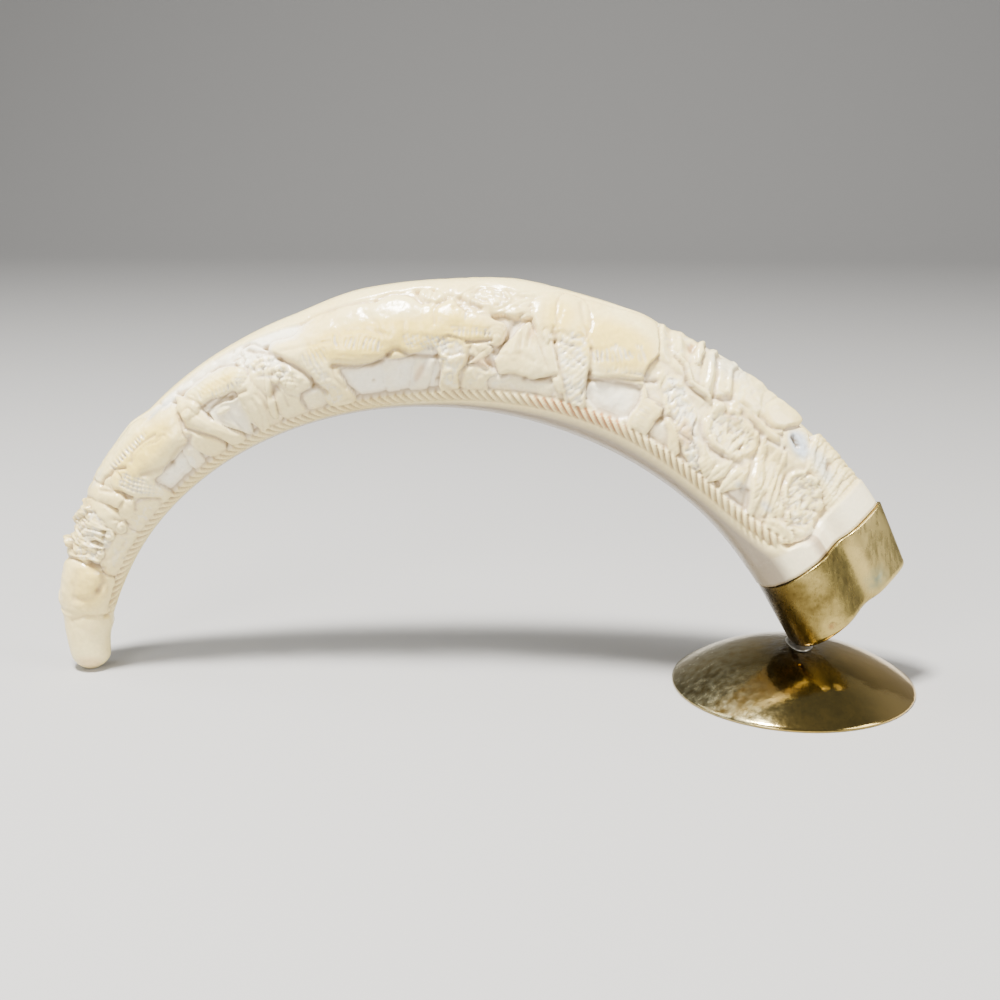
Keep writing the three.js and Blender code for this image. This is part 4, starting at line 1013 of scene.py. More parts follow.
def wobble(along, across, scale, seed):
    """Smooth random waviness from -1 to 1, with lumps of about the given size."""
    lattice = np.random.default_rng(seed).uniform(-1, 1, LATTICE)
    x, y = along / scale, (across + LATTICE_MARGIN) / scale
    i, j = np.floor(x).astype(int), np.floor(y).astype(int)
    u, v = smooth(0, 1, x - i), smooth(0, 1, y - j)
    rows = [i % LATTICE[0], (i + 1) % LATTICE[0]]
    columns = [j % LATTICE[1], (j + 1) % LATTICE[1]]
    low = mix(lattice[rows[0], columns[0]], lattice[rows[1], columns[0]], u)
    high = mix(lattice[rows[0], columns[1]], lattice[rows[1], columns[1]], u)
    return mix(low, high, v)


def lay_all(kind, items, start, along, across):
    """Lays every item of one kind, in order, on the heights to start from."""
    height = start.copy()
    stations = along[:, 0]
    for made, (low, high), lay in items:
        if made == kind:
            first, last = np.searchsorted(stations, [low, high])
            rows = slice(first, last)
            height[rows] = lay(height[rows], along[rows], across[rows])
    return height


def back_level(along, across):
    worn = -WORN_DEPTH * between(WORN_START, WORN_END, along)
    full = FULL_RISE * np.exp(-(((along - FULL_MIDDLE) / FULL_REACH) ** 2))
    return (worn + full) * between(BESIDE_START, BESIDE_END, across)


def rope_strand(along, offset, pitch):
    """0 in the gap between two turns of the rope, 1 on the crest of a turn."""
    uneven = ROPE_UNEVENNESS * wobble(along, offset, 6, 12)
    run = along - ROPE_START[1] + ROPE_LEAN * offset + uneven
    return np.abs(np.sin(math.pi * run / pitch))


def rope_height(strand, offset):
    roundness = np.sqrt(np.maximum(1 - (offset / ROPE_HALF_WIDTH) ** 2, 0))
    return mix(ROPE_VALLEY, ROPE_CREST, roundness * (0.12 + 0.88 * strand**0.9))


def seen_places(along, turn, across, height):
    """Where a place cut below the skin seems to be on it, from the front."""
    here = tooth_places(along, turn, 0)
    forward = tooth_places(along + SLOPE_STEP, turn, 0) - here
    upward = tooth_places(along, turn + SLOPE_TURN, 0) - here
    out = np.cross(forward, upward)
    eye = np.array(CAMERA_PLACE) / MM - FRAME_SHIFT
    view, forward, upward, out = [
        way / np.maximum(np.linalg.norm(way, axis=-1, keepdims=True), 1e-9)
        for way in (here - eye, forward, upward, out)
    ]
    facing = np.maximum(-np.sum(view * out, axis=-1), LEAST_FACING)
    return (
        along + height * np.sum(view * forward, axis=-1) / facing,
        across + height * np.sum(view * upward, axis=-1) / facing,
    )


def carved_field(along, across, offset):
    """1 inside the carved field, with a slope down from each of its borders."""
    beside = (across - FIELD_END_BULGE_MIDDLE) / FIELD_END_BULGE_REACH
    bulge = FIELD_END_BULGE * np.exp(-(beside**2))
    return (
        smooth(-0.8, 0.8, offset)
        * smooth(0, BORDER_SLOPE, upper_border(along) - across)
        * smooth(-0.4, 1.2, along - FIELD_START)
        * smooth(-0.2, 1.0, FIELD_END + bulge - along)
    )


def rope_share(along, offset):
    """1 on the rope border, 0 off it."""
    over_edge = smooth(ROPE_HALF_WIDTH - 0.2, ROPE_HALF_WIDTH + 0.3, np.abs(offset))
    return between(ROPE_START, ROPE_END, along) * (1 - over_edge)


def strip_share(along, offset):
    """The scraped strip that sets the rope off from the underside."""
    return between(STRIP_FOOT, STRIP_TOP, offset) * between(STRIP_START, STRIP_END, along)


# Painted shade on the underside below the rope
def underside_shade_share(turn, offset):
    wrapped = np.remainder(turn + math.pi, 2 * math.pi) - math.pi
    below_rope = 1 - smooth(*SHADED_UNDERSIDE_OFFSETS, offset)
    return smooth(*SHADED_UNDERSIDE_TURNS, wrapped) * below_rope * (wrapped < 0)


def relief(along, turn, across, ground, pitch):
    """Height of the worked surface over the tooth's skin, and its marks."""
    offset = across - rope_line(along)
    field = carved_field(along, across, offset)
    on_rope = rope_share(along, offset)
    flat = np.zeros_like(along)
    deeper = smooth(*DEEP_GROUND_ALONG, along) * smooth(*DEEP_GROUND_ACROSS, across)
    ground_level = -(ground + DEEP_GROUND_EXTRA * deeper)
    items = [*carving(), *skin_marks()]
    first = lay_all("form", items, ground_level, along, across) * field
    drawn = seen_places(along, turn, across, blurred(first, 5))
    carved = lay_all("form", items, ground_level, *drawn)
    carved += sum(rise * wobble(*drawn, size, seed) for rise, size, seed in RIPPLES)
    lines = lay_all("line", items, flat, *drawn)
    strokes = lay_all("texture", items, flat, *drawn) * field

    strand = rope_strand(along, offset, pitch)
    height = (carved * field + lines + strokes) * (1 - on_rope)
    height += rope_height(strand, offset) * on_rope
    height += back_level(along, across) - STRIP_DEPTH * strip_share(along, offset)
    worn = 0.75 + 0.25 * wobble(along, offset, 2.9, 13)
    marks = {
        kind: np.clip(lay_all(kind, items, flat, *drawn), 0, 1)
        for kind in ("blue", "brown", "gold")
    }
    # Painted shade on the underside below the rope
    marks["under"] = underside_shade_share(turn, offset)
    marks["gap"] = np.clip(1.6 * (1 - strand) ** 1.2 - 0.15, 0, 1) * on_rope * worn
    marks["line"] = np.clip(-lines - 0.12, 0, 1) * (1 - on_rope)
    # The stroke share is partly cut ivory, partly painted highlight
    marks["stroke"] = np.clip(-strokes * 2.4 - 0.3, 0, 0.9) * (1 - on_rope)
    marks["field"] = field * (1 - on_rope)
    marks["rope"] = on_rope
    return height, marks


def tooth_places(along, turn, height):
    """Places on the tooth in its measuring frame, moved out from its skin."""
    x, z, heading = centre_line(along)
    across, depth = section(along, turn)
    before, after = section(along, turn - SLOPE_TURN), section(along, turn + SLOPE_TURN)
    run_across, run_depth = after[0] - before[0], after[1] - before[1]
    run = np.maximum(np.hypot(run_across, run_depth), 1e-9)
    n = across + run_depth / run * height
    y = depth - run_across / run * height
    places = np.stack([x - np.sin(heading) * n, y, z + np.cos(heading) * n], axis=-1)
    places[..., 2] = np.maximum(places[..., 2], 0)
    return places


def collar_places(share, turn, inset):
    """The collar's outline at a share of its height, shrunk all round by inset."""
    half = mix(COLLAR_HALF_WIDTH_TOP, COLLAR_HALF_WIDTH_FOOT, share)
    heading = np.radians(mix(COLLAR_TOP_HEADING, COLLAR_FOOT_HEADING, share))
    depth = half * DEPTH_SHARE_COLLAR + COLLAR_FULLNESS
    before, here, after = [
        outline(turn + step, half, depth, LOBE_SKEW, WAIST_DEPTH)
        for step in (-SLOPE_TURN, 0, SLOPE_TURN)
    ]
    run = np.hypot(after[0] - before[0], after[1] - before[1])
    n = here[0] - inset * (after[1] - before[1]) / run
    y = here[1] + inset * (after[0] - before[0]) / run
    x = mix(COLLAR_TOP[0], COLLAR_FOOT[0], share) - np.sin(heading) * n
    z = mix(COLLAR_TOP[1], COLLAR_FOOT[1], share) + np.cos(heading) * n
    return np.stack([x, y, z], axis=-1)


def along_at_rim(turn):
    """Where the tooth's skin meets the plane of the collar's top rim."""
    heading = math.radians(COLLAR_TOP_HEADING)
    low, high = [np.full_like(turn, end) for end in RIM_SEARCH]
    for _ in range(RIM_SEARCH_STEPS):
        middle = (low + high) / 2
        place = tooth_places(middle, turn, 0)
        past = (
            (place[..., 0] - COLLAR_TOP[0]) * math.cos(heading)
            + (place[..., 2] - COLLAR_TOP[1]) * math.sin(heading)
        )
        below = past < -SHOULDER_GAP
        low, high = np.where(below, middle, low), np.where(below, high, middle)
    return (low + high) / 2


def frame_shift():
    """From the measuring frame to the part's own frame, in millimetres."""
    low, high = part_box("foot_dish")
    middle = (low + high) / 2 / MM
    return np.array([middle.x - DISH_MIDDLE[0], middle.y - DISH_MIDDLE[1], 0])


FRAME_SHIFT = frame_shift()


def in_part_frame(places):
    """From the measuring frame's millimetres to metres in the part's own frame."""
    return (places + FRAME_SHIFT) * MM


def column_turns(along):
    """Columns run from the underside over the rope and the carving to the back."""
    rope = rope_line(along)
    low = turn_for(along, rope - ROPE_EDGE)
    high = turn_for(along, rope + ROPE_EDGE)
    limit = math.radians(BORDER_TURN_LIMIT)
    top = np.minimum(turn_for(along, upper_border(along) + 0.8), limit)
    underside = np.full_like(along, math.radians(UNDERSIDE_TURN))
    stretches = [
        (underside, low, UNDER_COLUMNS),
        (low, high, ROPE_COLUMNS),
        (high, top, FIELD_COLUMNS),
        (top, underside + 2 * math.pi, BACK_COLUMNS),
    ]
    columns = [
        mix(start, end, i / count) for start, end, count in stretches for i in range(count)
    ]
    return np.stack([*columns, underside + 2 * math.pi], axis=1)


def blurred(values, reach):
    """Mean over a window that reaches so many steps each way, along both sides."""
    for axis in (0, 1):
        pad = [(reach + 1, reach) if k == axis else (0, 0) for k in (0, 1)]
        total = np.cumsum(np.pad(values, pad, mode="edge"), axis=axis)
        count, window = values.shape[axis], 2 * reach + 1
        after = np.take(total, range(window, window + count), axis=axis)
        before = np.take(total, range(count), axis=axis)
        values = (after - before) / window
    return values


def new_piece(name, bm, material):
    """Turns a finished bmesh, already in the part's own frame, into a piece."""
    mesh = bpy.data.meshes.new(name)
    bm.to_mesh(mesh)
    bm.free()
    mesh.materials.append(material)
    mesh.polygons.foreach_set("use_smooth", [True] * len(mesh.polygons))
    piece = bpy.data.objects.new(name, mesh)
    bpy.context.scene.collection.objects.link(piece)
    return piece


def dress(piece, node):
    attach(piece, "root")
    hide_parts(node)


def stack_rings(bm, sides, count):
    """Round rings of vertices in an empty bmesh, each grown from the one before."""
    ring = bmesh.ops.create_circle(bm, cap_ends=False, radius=1, segments=sides)["verts"]
    rings = [ring]
    edges = bm.edges[:]
    for _ in range(count - 1):
        grown = bmesh.ops.extrude_edge_only(bm, edges=edges)["geom"]
        rings.append([g for g in grown if isinstance(g, bmesh.types.BMVert)])
        edges = [g for g in grown if isinstance(g, bmesh.types.BMEdge)]
    return rings


def mark_layers(bm, *names):
    return [bm.verts.layers.float.new(name) for name in names]


def dish_dome(dish):
    """The dish's radius, and a function for the height of its outer face."""
    low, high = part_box("foot_dish")
    radius = (high.x - low.x) / 2
    rise = high.z - dish.rim
    ball = (radius**2 + rise**2) / (2 * rise)

    def dome(away):
        return math.sqrt(ball**2 - away**2) - ball + rise + dish.rim

    return radius, dome


def close_ends(bm):
    open_edges = [edge for edge in bm.edges if edge.is_boundary]
    caps = bmesh.ops.holes_fill(bm, edges=open_edges, sides=0)["faces"]
    bmesh.ops.poke(bm, faces=caps)


def start_material(name):
    material = bpy.data.materials.new(name)
    material.use_nodes = True
    nodes = material.node_tree.nodes
    nodes.clear()
    shader = nodes.new("ShaderNodeBsdfPrincipled")
    output = nodes.new("ShaderNodeOutputMaterial")
    material.node_tree.links.new(shader.outputs["BSDF"], output.inputs["Surface"])
    return material, shader


class NodeBench:
    """Short ways to add the nodes of one material and join them up."""

    def __init__(self, material):
        self.nodes = material.node_tree.nodes
        self.links = material.node_tree.links

    def join(self, source, socket):
        if hasattr(source, "is_linked"):
            self.links.new(source, socket)
        else:
            socket.default_value = source

    def add(self, kind, **sockets):
        """Adds a node. A socket's name is written with _ for each space."""
        node = self.nodes.new("ShaderNode" + kind)
        for name, source in sockets.items():
            self.join(source, node.inputs[name.replace("_", " ")])
        return node

    def attribute(self, name):
        node = self.add("Attribute")
        node.attribute_name = name
        return node.outputs["Fac"]

    def coordinates(self, kind, scale=(1, 1, 1), turn=(0, 0, 0)):
        source = self.add("TexCoord").outputs[kind]
        return self.add("Mapping", Vector=source, Scale=scale, Rotation=turn).outputs["Vector"]

    def noise(self, vector, scale, detail=3.0, roughness=0.5):
        node = self.add(
            "TexNoise", Vector=vector, Scale=scale, Detail=detail, Roughness=roughness
        )
        return node.outputs["Fac"]

    def scale_to(self, value, low, high, to_low=0.0, to_high=1.0):
        node = self.add(
            "MapRange", Value=value, From_Min=low, From_Max=high, To_Min=to_low, To_Max=to_high
        )
        return node.outputs["Result"]

    def maths(self, operation, a, b):
        node = self.add("Math")
        node.operation = operation
        self.join(a, node.inputs[0])
        self.join(b, node.inputs[1])
        return node.outputs["Value"]

    def blend(self, share, first, second, kind="MIX"):
        node = self.add("Mix")
        node.data_type = "RGBA"
        node.blend_type = kind
        self.join(share, node.inputs["Factor"])
        for source, name in ((first, "A"), (second, "B")):
            socket = next(s for s in node.inputs if s.name == name and s.type == "RGBA")
            self.join(source, socket)
        return next(s for s in node.outputs if s.type == "RGBA")

    def bump(self, height, distance, strength, under=None):
        node = self.add("Bump", Height=height, Distance=distance, Strength=strength)
        if under is not None:
            self.join(under, node.inputs["Normal"])
        return node.outputs["Normal"]


def opaque(colour):
    return (*colour, 1.0)


def ivory_material(colours):
    """Polished cream on the heights, chalky white where the knife went deep, with painted shade in
    the creases, round the hollows and on the underside, and painted highlights in the knife
    strokes.
    """
    material, shader = start_material("ivory")
    bench = NodeBench(material)
    hollow, stroke = bench.attribute("hollow"), bench.attribute("stroke")
    place = bench.coordinates("Object")
    grain_place = bench.coordinates("UV", (60, 900, 1))
    scratch_place = bench.coordinates("UV", (700, 160, 1), (0, 0, math.radians(20)))
    clouds = bench.noise(place, 45, detail=2)
    fine = bench.noise(place, 900, detail=3)
    specks = bench.noise(place, 2600, detail=2)
    grain = bench.noise(grain_place, 1.0, detail=3, roughness=0.6)
    scratches = bench.noise(scratch_place, 1.0, detail=2, roughness=0.6)

    warm = bench.scale_to(clouds, 0.4, 0.64)
    tone = bench.blend(warm, opaque(colours.polished), opaque(colours.yellowed))
    # Layers of colour; the shares for shade, the underside and creases carry painted shade, the
    # stroke share partly a painted highlight
    layers = (
        (bench.attribute("gold"), colours.golden),
        (hollow, colours.chalk),
        (bench.attribute("shade"), colours.hollow_dirt_and_shade),
        (stroke, colours.strokes_and_glints),
        (bench.attribute("blue"), colours.bluish),
        (bench.attribute("brown"), colours.browned),
        (bench.attribute("under"), colours.underside_painted_shade),
        (bench.attribute("crease_dirt_and_shade"), colours.crease_dirt_and_shade),
        (bench.attribute("stain"), colours.stain),
    )
    for share, colour in layers:
        tone = bench.blend(share, tone, opaque(colour))
    speckled = bench.scale_to(fine, 0.3, 0.7, 0.94, 1.04)
    toned = bench.blend(1.0, tone, speckled, "MULTIPLY")
    bench.join(toned, shader.inputs["Base Color"])

    rough = bench.scale_to(hollow, 0.0, 1.0, 0.22, 0.45)
    rougher = bench.maths("MULTIPLY", rough, bench.scale_to(fine, 0.3, 0.7, 0.85, 1.15))
    bench.join(rougher, shader.inputs["Roughness"])
    cuts = bench.maths("MULTIPLY", scratches, bench.scale_to(stroke, 0, 0.6, 0.12, 1))
    bumped = bench.bump(grain, 0.00004, 0.6)
    bumped = bench.bump(cuts, 0.0004, 0.3, bumped)
    bumped = bench.bump(fine, 0.00014, 0.5, bumped)
    bumped = bench.bump(specks, 0.00004, 0.5, bumped)
    bench.join(bumped, shader.inputs["Normal"])
    shader.inputs["Coat Weight"].default_value = 0.2
    shader.inputs["Coat Roughness"].default_value = 0.22
    shader.inputs["Subsurface Weight"].default_value = 0.15
    shader.inputs["Subsurface Radius"].default_value = (1.0, 0.8, 0.55)
    shader.inputs["Subsurface Scale"].default_value = 0.001
    shader.inputs["Specular IOR Level"].default_value = 0.55
    shader.inputs["IOR"].default_value = 1.52
    return material


def brass_material(name, colours, roughness):
    """Aged brass: mottled colour, a painted reflection and painted shade on given sides, soft
    dents and fine rubbing marks.
    """
    material, shader = start_material(name)
    bench = NodeBench(material)
    place = bench.coordinates("Object")
    streaky = bench.coordinates("Object", (1, 1, 0.12), (0, math.radians(36), 0))
    clouds = bench.noise(place, 70, detail=5, roughness=0.65)
    spots = bench.noise(place, 420, detail=3)
    specks = bench.noise(place, 1500, detail=2)
    rubs = bench.noise(streaky, 900, detail=2)
    uneven = bench.scale_to(spots, 0.2, 0.6)
    green = bench.maths("MULTIPLY", bench.attribute("green"), uneven)
    copper = bench.maths("MULTIPLY", bench.attribute("copper"), uneven)
    patches = bench.scale_to(clouds, 0.4, 0.66)
    tone = bench.blend(patches, opaque(colours.brass), opaque(colours.patina))
    tone = bench.blend(bench.scale_to(specks, 0.6, 0.72, 0, 0.5), tone, opaque(colours.patina))
    # Painted light: a painted reflection on one side, and on the collar painted shade in the
    # patina colour on the other
    tone = bench.blend(bench.attribute("painted_reflection_share"), tone, opaque(colours.painted_reflection))
    tone = bench.blend(bench.attribute("painted_shade"), tone, opaque(colours.patina))
    # A green film on the collar; on the dish the same share paints a grey-green reflection
    tone = bench.blend(green, tone, opaque(colours.verdigris_and_reflection))
    tone = bench.blend(copper, tone, opaque(colours.mark))
    bench.join(tone, shader.inputs["Base Color"])
    dull = bench.scale_to(clouds, 0.3, 0.75, roughness * 0.7, roughness * 1.6)
    films_and_reflection = bench.maths("ADD", green, copper)
    marked = bench.maths("ADD", dull, bench.maths("MULTIPLY", films_and_reflection, 0.2))
    rough = bench.maths("MULTIPLY", marked, bench.scale_to(rubs, 0.3, 0.7, 0.85, 1.2))
    bench.join(rough, shader.inputs["Roughness"])
    bumped = bench.bump(clouds, 0.0005, 0.4)
    bumped = bench.bump(rubs, 0.00002, 0.4, bumped)
    bumped = bench.bump(copper, 0.0004, 0.5, bumped)
    bench.join(bumped, shader.inputs["Normal"])
    shader.inputs["Metallic"].default_value = 1.0
    return material


def solder_material(colour):
    material, shader = start_material("solder")
    bench = NodeBench(material)
    place = bench.coordinates("Object")
    lumps = bench.noise(place, 700, detail=3)
    toned = bench.blend(bench.scale_to(lumps, 0.35, 0.7), opaque(colour), (0.5, 0.47, 0.4, 1))
    bench.join(toned, shader.inputs["Base Color"])
    bench.join(bench.scale_to(lumps, 0.3, 0.7, 0.3, 0.55), shader.inputs["Roughness"])
    bench.join(bench.bump(lumps, 0.0003, 0.6), shader.inputs["Normal"])
    shader.inputs["Metallic"].default_value = 1.0
    return material


def length(name, description, default):
    return bpy.props.FloatProperty(
        name=name,
        description=description,
        default=default,
        unit="LENGTH",
        subtype="DISTANCE",
        precision=4,
    )


def colour_choice(name, description, default):
    return bpy.props.FloatVectorProperty(
        name=name,
        description=description,
        default=default,
        subtype="COLOR",
        size=3,
        min=0,
        max=1,
    )


class ToothSettings(bpy.types.PropertyGroup):
    ground: length("Ground depth", "Depth of the cut-away ground", 2.3 * MM)
    rope_pitch: length("Rope pitch", "Length of one turn of the rope", 2.6 * MM)
    polished: colour_choice("Polished ivory", "Colour of the heights", (0.94, 0.79, 0.38))
    yellowed: colour_choice("Yellowed ivory", "Warmer patches", (0.90, 0.72, 0.30))
    golden: colour_choice("Golden ivory", "The yellowest bodies", (0.90, 0.68, 0.16))
    chalk: colour_choice("Cut ivory", "Colour in the recesses", (0.99, 0.91, 0.70))
    # Knife strokes: raw cut ivory, painted brighter as well for their painted highlights
    strokes_and_glints: colour_choice("Knife strokes", "Bright fine strokes", (1.0, 0.95, 0.74))
    bluish: colour_choice("Bluish ivory", "Cool patches", (0.50, 0.55, 0.57))
    browned: colour_choice("Browned ivory", "Tan patches", (0.72, 0.46, 0.22))
    # Tan dirt and painted shade round the hollows
    hollow_dirt_and_shade: colour_choice("Tanned ivory", "Colour round the hollows", (0.72, 0.54, 0.26))
    # Dirt and painted shade in the creases, the knife lines and the rope's gaps
    crease_dirt_and_shade: colour_choice("Crease", "Dirt in the tightest creases", (0.30, 0.19, 0.08))
    # Painted shade: the underside darkened as if turned away from the light
    underside_painted_shade: colour_choice("Underside", "The darker underside", (0.31, 0.25, 0.17))
    stain: colour_choice("Rope stain", "Brown stain in the rope", (0.55, 0.25, 0.09))


class CollarSettings(bpy.types.PropertyGroup):
    wall: length("Wall", "Thickness of the collar's sheet", 1.0 * MM)
    edge: length("Rim rounding", "Rounding of the collar's upper rim", 0.35 * MM)
    foot_edge: length("Foot rounding", "Rounding of the collar's lower edge", 1.7 * MM)
    brass: colour_choice("Collar brass", "Main colour", (0.52, 0.40, 0.13))
    # The patina colour also paints the shade on the collar's left side
    patina: colour_choice("Collar patina", "Darker patches", (0.085, 0.055, 0.012))
    # Painted reflection on the collar's right side
    painted_reflection: colour_choice("Collar rubbed", "Brighter rubbed side", (0.74, 0.58, 0.22))
    verdigris_and_reflection: colour_choice("Collar green", "Green-grey smudge", (0.30, 0.32, 0.20))
    mark: colour_choice("Collar mark", "Copper-brown mark", (0.30, 0.12, 0.05))


class DishSettings(bpy.types.PropertyGroup):
    sheet: length("Sheet", "Thickness of the dish's sheet", 0.9 * MM)
    ledge: length("Ledge", "Width of the flat rim underneath", 2.2 * MM)
    rim: length("Rim height", "Height of the dish's upright rim", 0.8 * MM)
    brass: colour_choice("Dish brass", "Main colour", (0.40, 0.28, 0.08))
    patina: colour_choice("Dish patina", "Darker patches", (0.19, 0.15, 0.055))
    # Painted reflection, bright and warm, on the dish's right side
    painted_reflection: colour_choice("Dish rubbed", "Brighter warm side", (0.98, 0.68, 0.24))
    # Painted grey-green reflection on the dish's left side
    verdigris_and_reflection: colour_choice("Dish green", "Grey-green bloom", (0.56, 0.52, 0.32))
    mark: colour_choice("Dish smears", "Solder smears round the joint", (0.34, 0.33, 0.31))


class SolderSettings(bpy.types.PropertyGroup):
    height: length("Height", "Height of the solder over the dome", 1.5 * MM)
    metal: colour_choice("Solder", "Colour of the solder", (0.26, 0.25, 0.23))


class StageSettings(bpy.types.PropertyGroup):
    camera_place: bpy.props.FloatVectorProperty(
        name="Camera place",
        description="Where the camera stands",
        default=CAMERA_PLACE,
        unit="LENGTH",
        subtype="TRANSLATION",
        size=3,
    )
    camera_heading: bpy.props.FloatVectorProperty(
        name="Camera heading",
        description="The direction in which the camera looks",
        default=CAMERA_HEADING,
        subtype="DIRECTION",
        size=3,
    )
    lens: bpy.props.FloatProperty(
        name="Lens",
        description="Focal length in millimetres on a 36 mm sensor",
        default=52.56,
    )
    floor: colour_choice("Floor", "Colour of the floor", (0.38, 0.375, 0.365))


class BuildTooth(bpy.types.Operator):
    """Carve the tooth"""

    bl_idname = "carved_tooth.build_tooth"
    bl_label = "Carve the tooth"

    def execute(self, context):
        settings = context.scene.tooth_settings
        wall = context.scene.collar_settings.wall / MM
        measures = settings.ground / MM, settings.rope_pitch / MM
        plain = np.arange(0, PLAIN_RINGS_TO, PLAIN_RING_STEP)
        carved = np.arange(PLAIN_RINGS_TO, BAND_START + RING_STEP / 2, RING_STEP)
        stations = np.concatenate([plain, carved])
        turns = column_turns(stations)
        along = np.repeat(stations[:, None], turns.shape[1], axis=1)
        across = arc_across(along, turns)
        height, marks = relief(along, turns, across, *measures)
        height[:, -1] = height[:, 0]
        root = self.root_places(stations[-1], turns[-1:], wall + FIT_GAP, measures)
        places = np.concatenate([tooth_places(along, turns, height), root])
        root_rows = ((0, len(root)), (0, 0))
        u = np.pad(along / LINE_LENGTH, root_rows, constant_values=ROOT_U)
        v = np.pad(across, root_rows, mode="edge") / UV_GIRTH + 0.5
        uv = np.stack([u, v], axis=-1)
        marks = self.colour_marks(along, height, marks)
        piece = self.sweep(places, marks, uv, ivory_material(settings))
        dress(piece, "carved_tusk")
        return {"FINISHED"}

    @staticmethod
    def root_places(start, turns, seat_inset, measures):
        """The smooth band up to the collar's rim, then the root inside the collar."""
        shares = (np.arange(BAND_RINGS) + 1) / BAND_RINGS
        along = np.concatenate([mix(start, along_at_rim(turns), share) for share in shares])
        band_turns = np.repeat(turns, BAND_RINGS, axis=0)
        height = relief(along, band_turns, arc_across(along, band_turns), *measures)[0]
        height *= (1 - shares[:, None]) ** 2
        band = tooth_places(along, band_turns, height)
        seat_shares = (-SHOULDER_GAP / COLLAR_LENGTH, *SEAT_SHARES)
        seat = [collar_places(share, turns, seat_inset) for share in seat_shares]
        return np.concatenate([band, *seat])

    @classmethod
    def colour_marks(cls, along, height, marks):
        """Turns the shape of the carving into shares of each colour, painted shade among them."""
        field, on_rope, gap, line = [
            marks.pop(name) for name in ("field", "rope", "gap", "line")
        ]
        pale_band = PALE_BAND * smooth(*PALE_BAND_START, along)
        deep = np.clip((-height - 1.1) / 1.0, 0, 1) * field
        tight = np.clip((blurred(height, 2) - height) * 1.6 - 0.08, 0, 0.7) * field
        # Painted shade, partly dirt, darkens round the hollows, less on the pale recess floors
        shade = np.clip((blurred(height, 7) - height) * 1.2, 0, 0.8) * (field + on_rope)
        marks["hollow"] = np.maximum(deep, pale_band)
        # Tight hollows, knife lines and the rope's gaps: partly dirt, partly painted shade
        marks["crease_dirt_and_shade"] = np.maximum(np.maximum(tight, 0.75 * line), 0.9 * gap)
        marks["shade"] = shade * (1 - 0.6 * marks["hollow"])
        marks["stain"] = cls.rope_stain(along, gap)
        return marks

    @staticmethod
    def rope_stain(along, gap):
        stained = between(STAIN_START, STAIN_END, along)
        return np.clip(gap * 1.7, 0, 0.95) * mix(STAIN_EVERYWHERE, 1, stained)

    @staticmethod
    def sweep(places, marks, uv, material):
        """Lays a grid round the tooth, joins its long seam and closes its ends."""
        rings, columns = places.shape[:2]
        bm = bmesh.new()
        bmesh.ops.create_grid(
            bm, x_segments=columns - 1, y_segments=rings - 1, size=0.5, calc_uvs=True
        )
        bm.loops.layers.uv.verify()
        mesh = bpy.data.meshes.new("carved_tooth")
        bm.to_mesh(mesh)
        bm.free()
        flat = np.empty(len(mesh.vertices) * 3, np.float32)
        mesh.vertices.foreach_get("co", flat)
        column = np.rint((flat[0::3] + 0.5) * (columns - 1)).astype(int)
        ring = np.rint((flat[1::3] + 0.5) * (rings - 1)).astype(int)
        final = in_part_frame(places)[ring, column].astype(np.float32)
        mesh.vertices.foreach_set("co", final.ravel())
        corners = np.empty(len(mesh.loops), np.int32)
        mesh.loops.foreach_get("vertex_index", corners)
        drawn = uv[ring, column][corners].astype(np.float32)
        mesh.uv_layers[0].data.foreach_set("uv", drawn.ravel())
        for name, mark in marks.items():
            whole = np.pad(mark, ((0, rings - len(mark)), (0, 0)), mode="edge")
            layer = mesh.attributes.new(name, "FLOAT", "POINT")
            layer.data.foreach_set("value", whole[ring, column].astype(np.float32))

        bm = bmesh.new()
        bm.from_mesh(mesh)
        bpy.data.meshes.remove(mesh)
        seam = [v for v in bm.verts if column[v.index] in (0, columns - 1)]
        bmesh.ops.remove_doubles(bm, verts=seam, dist=1e-6)
        close_ends(bm)
        bmesh.ops.recalc_face_normals(bm, faces=bm.faces[:])
        return new_piece("carved_tooth", bm, material)


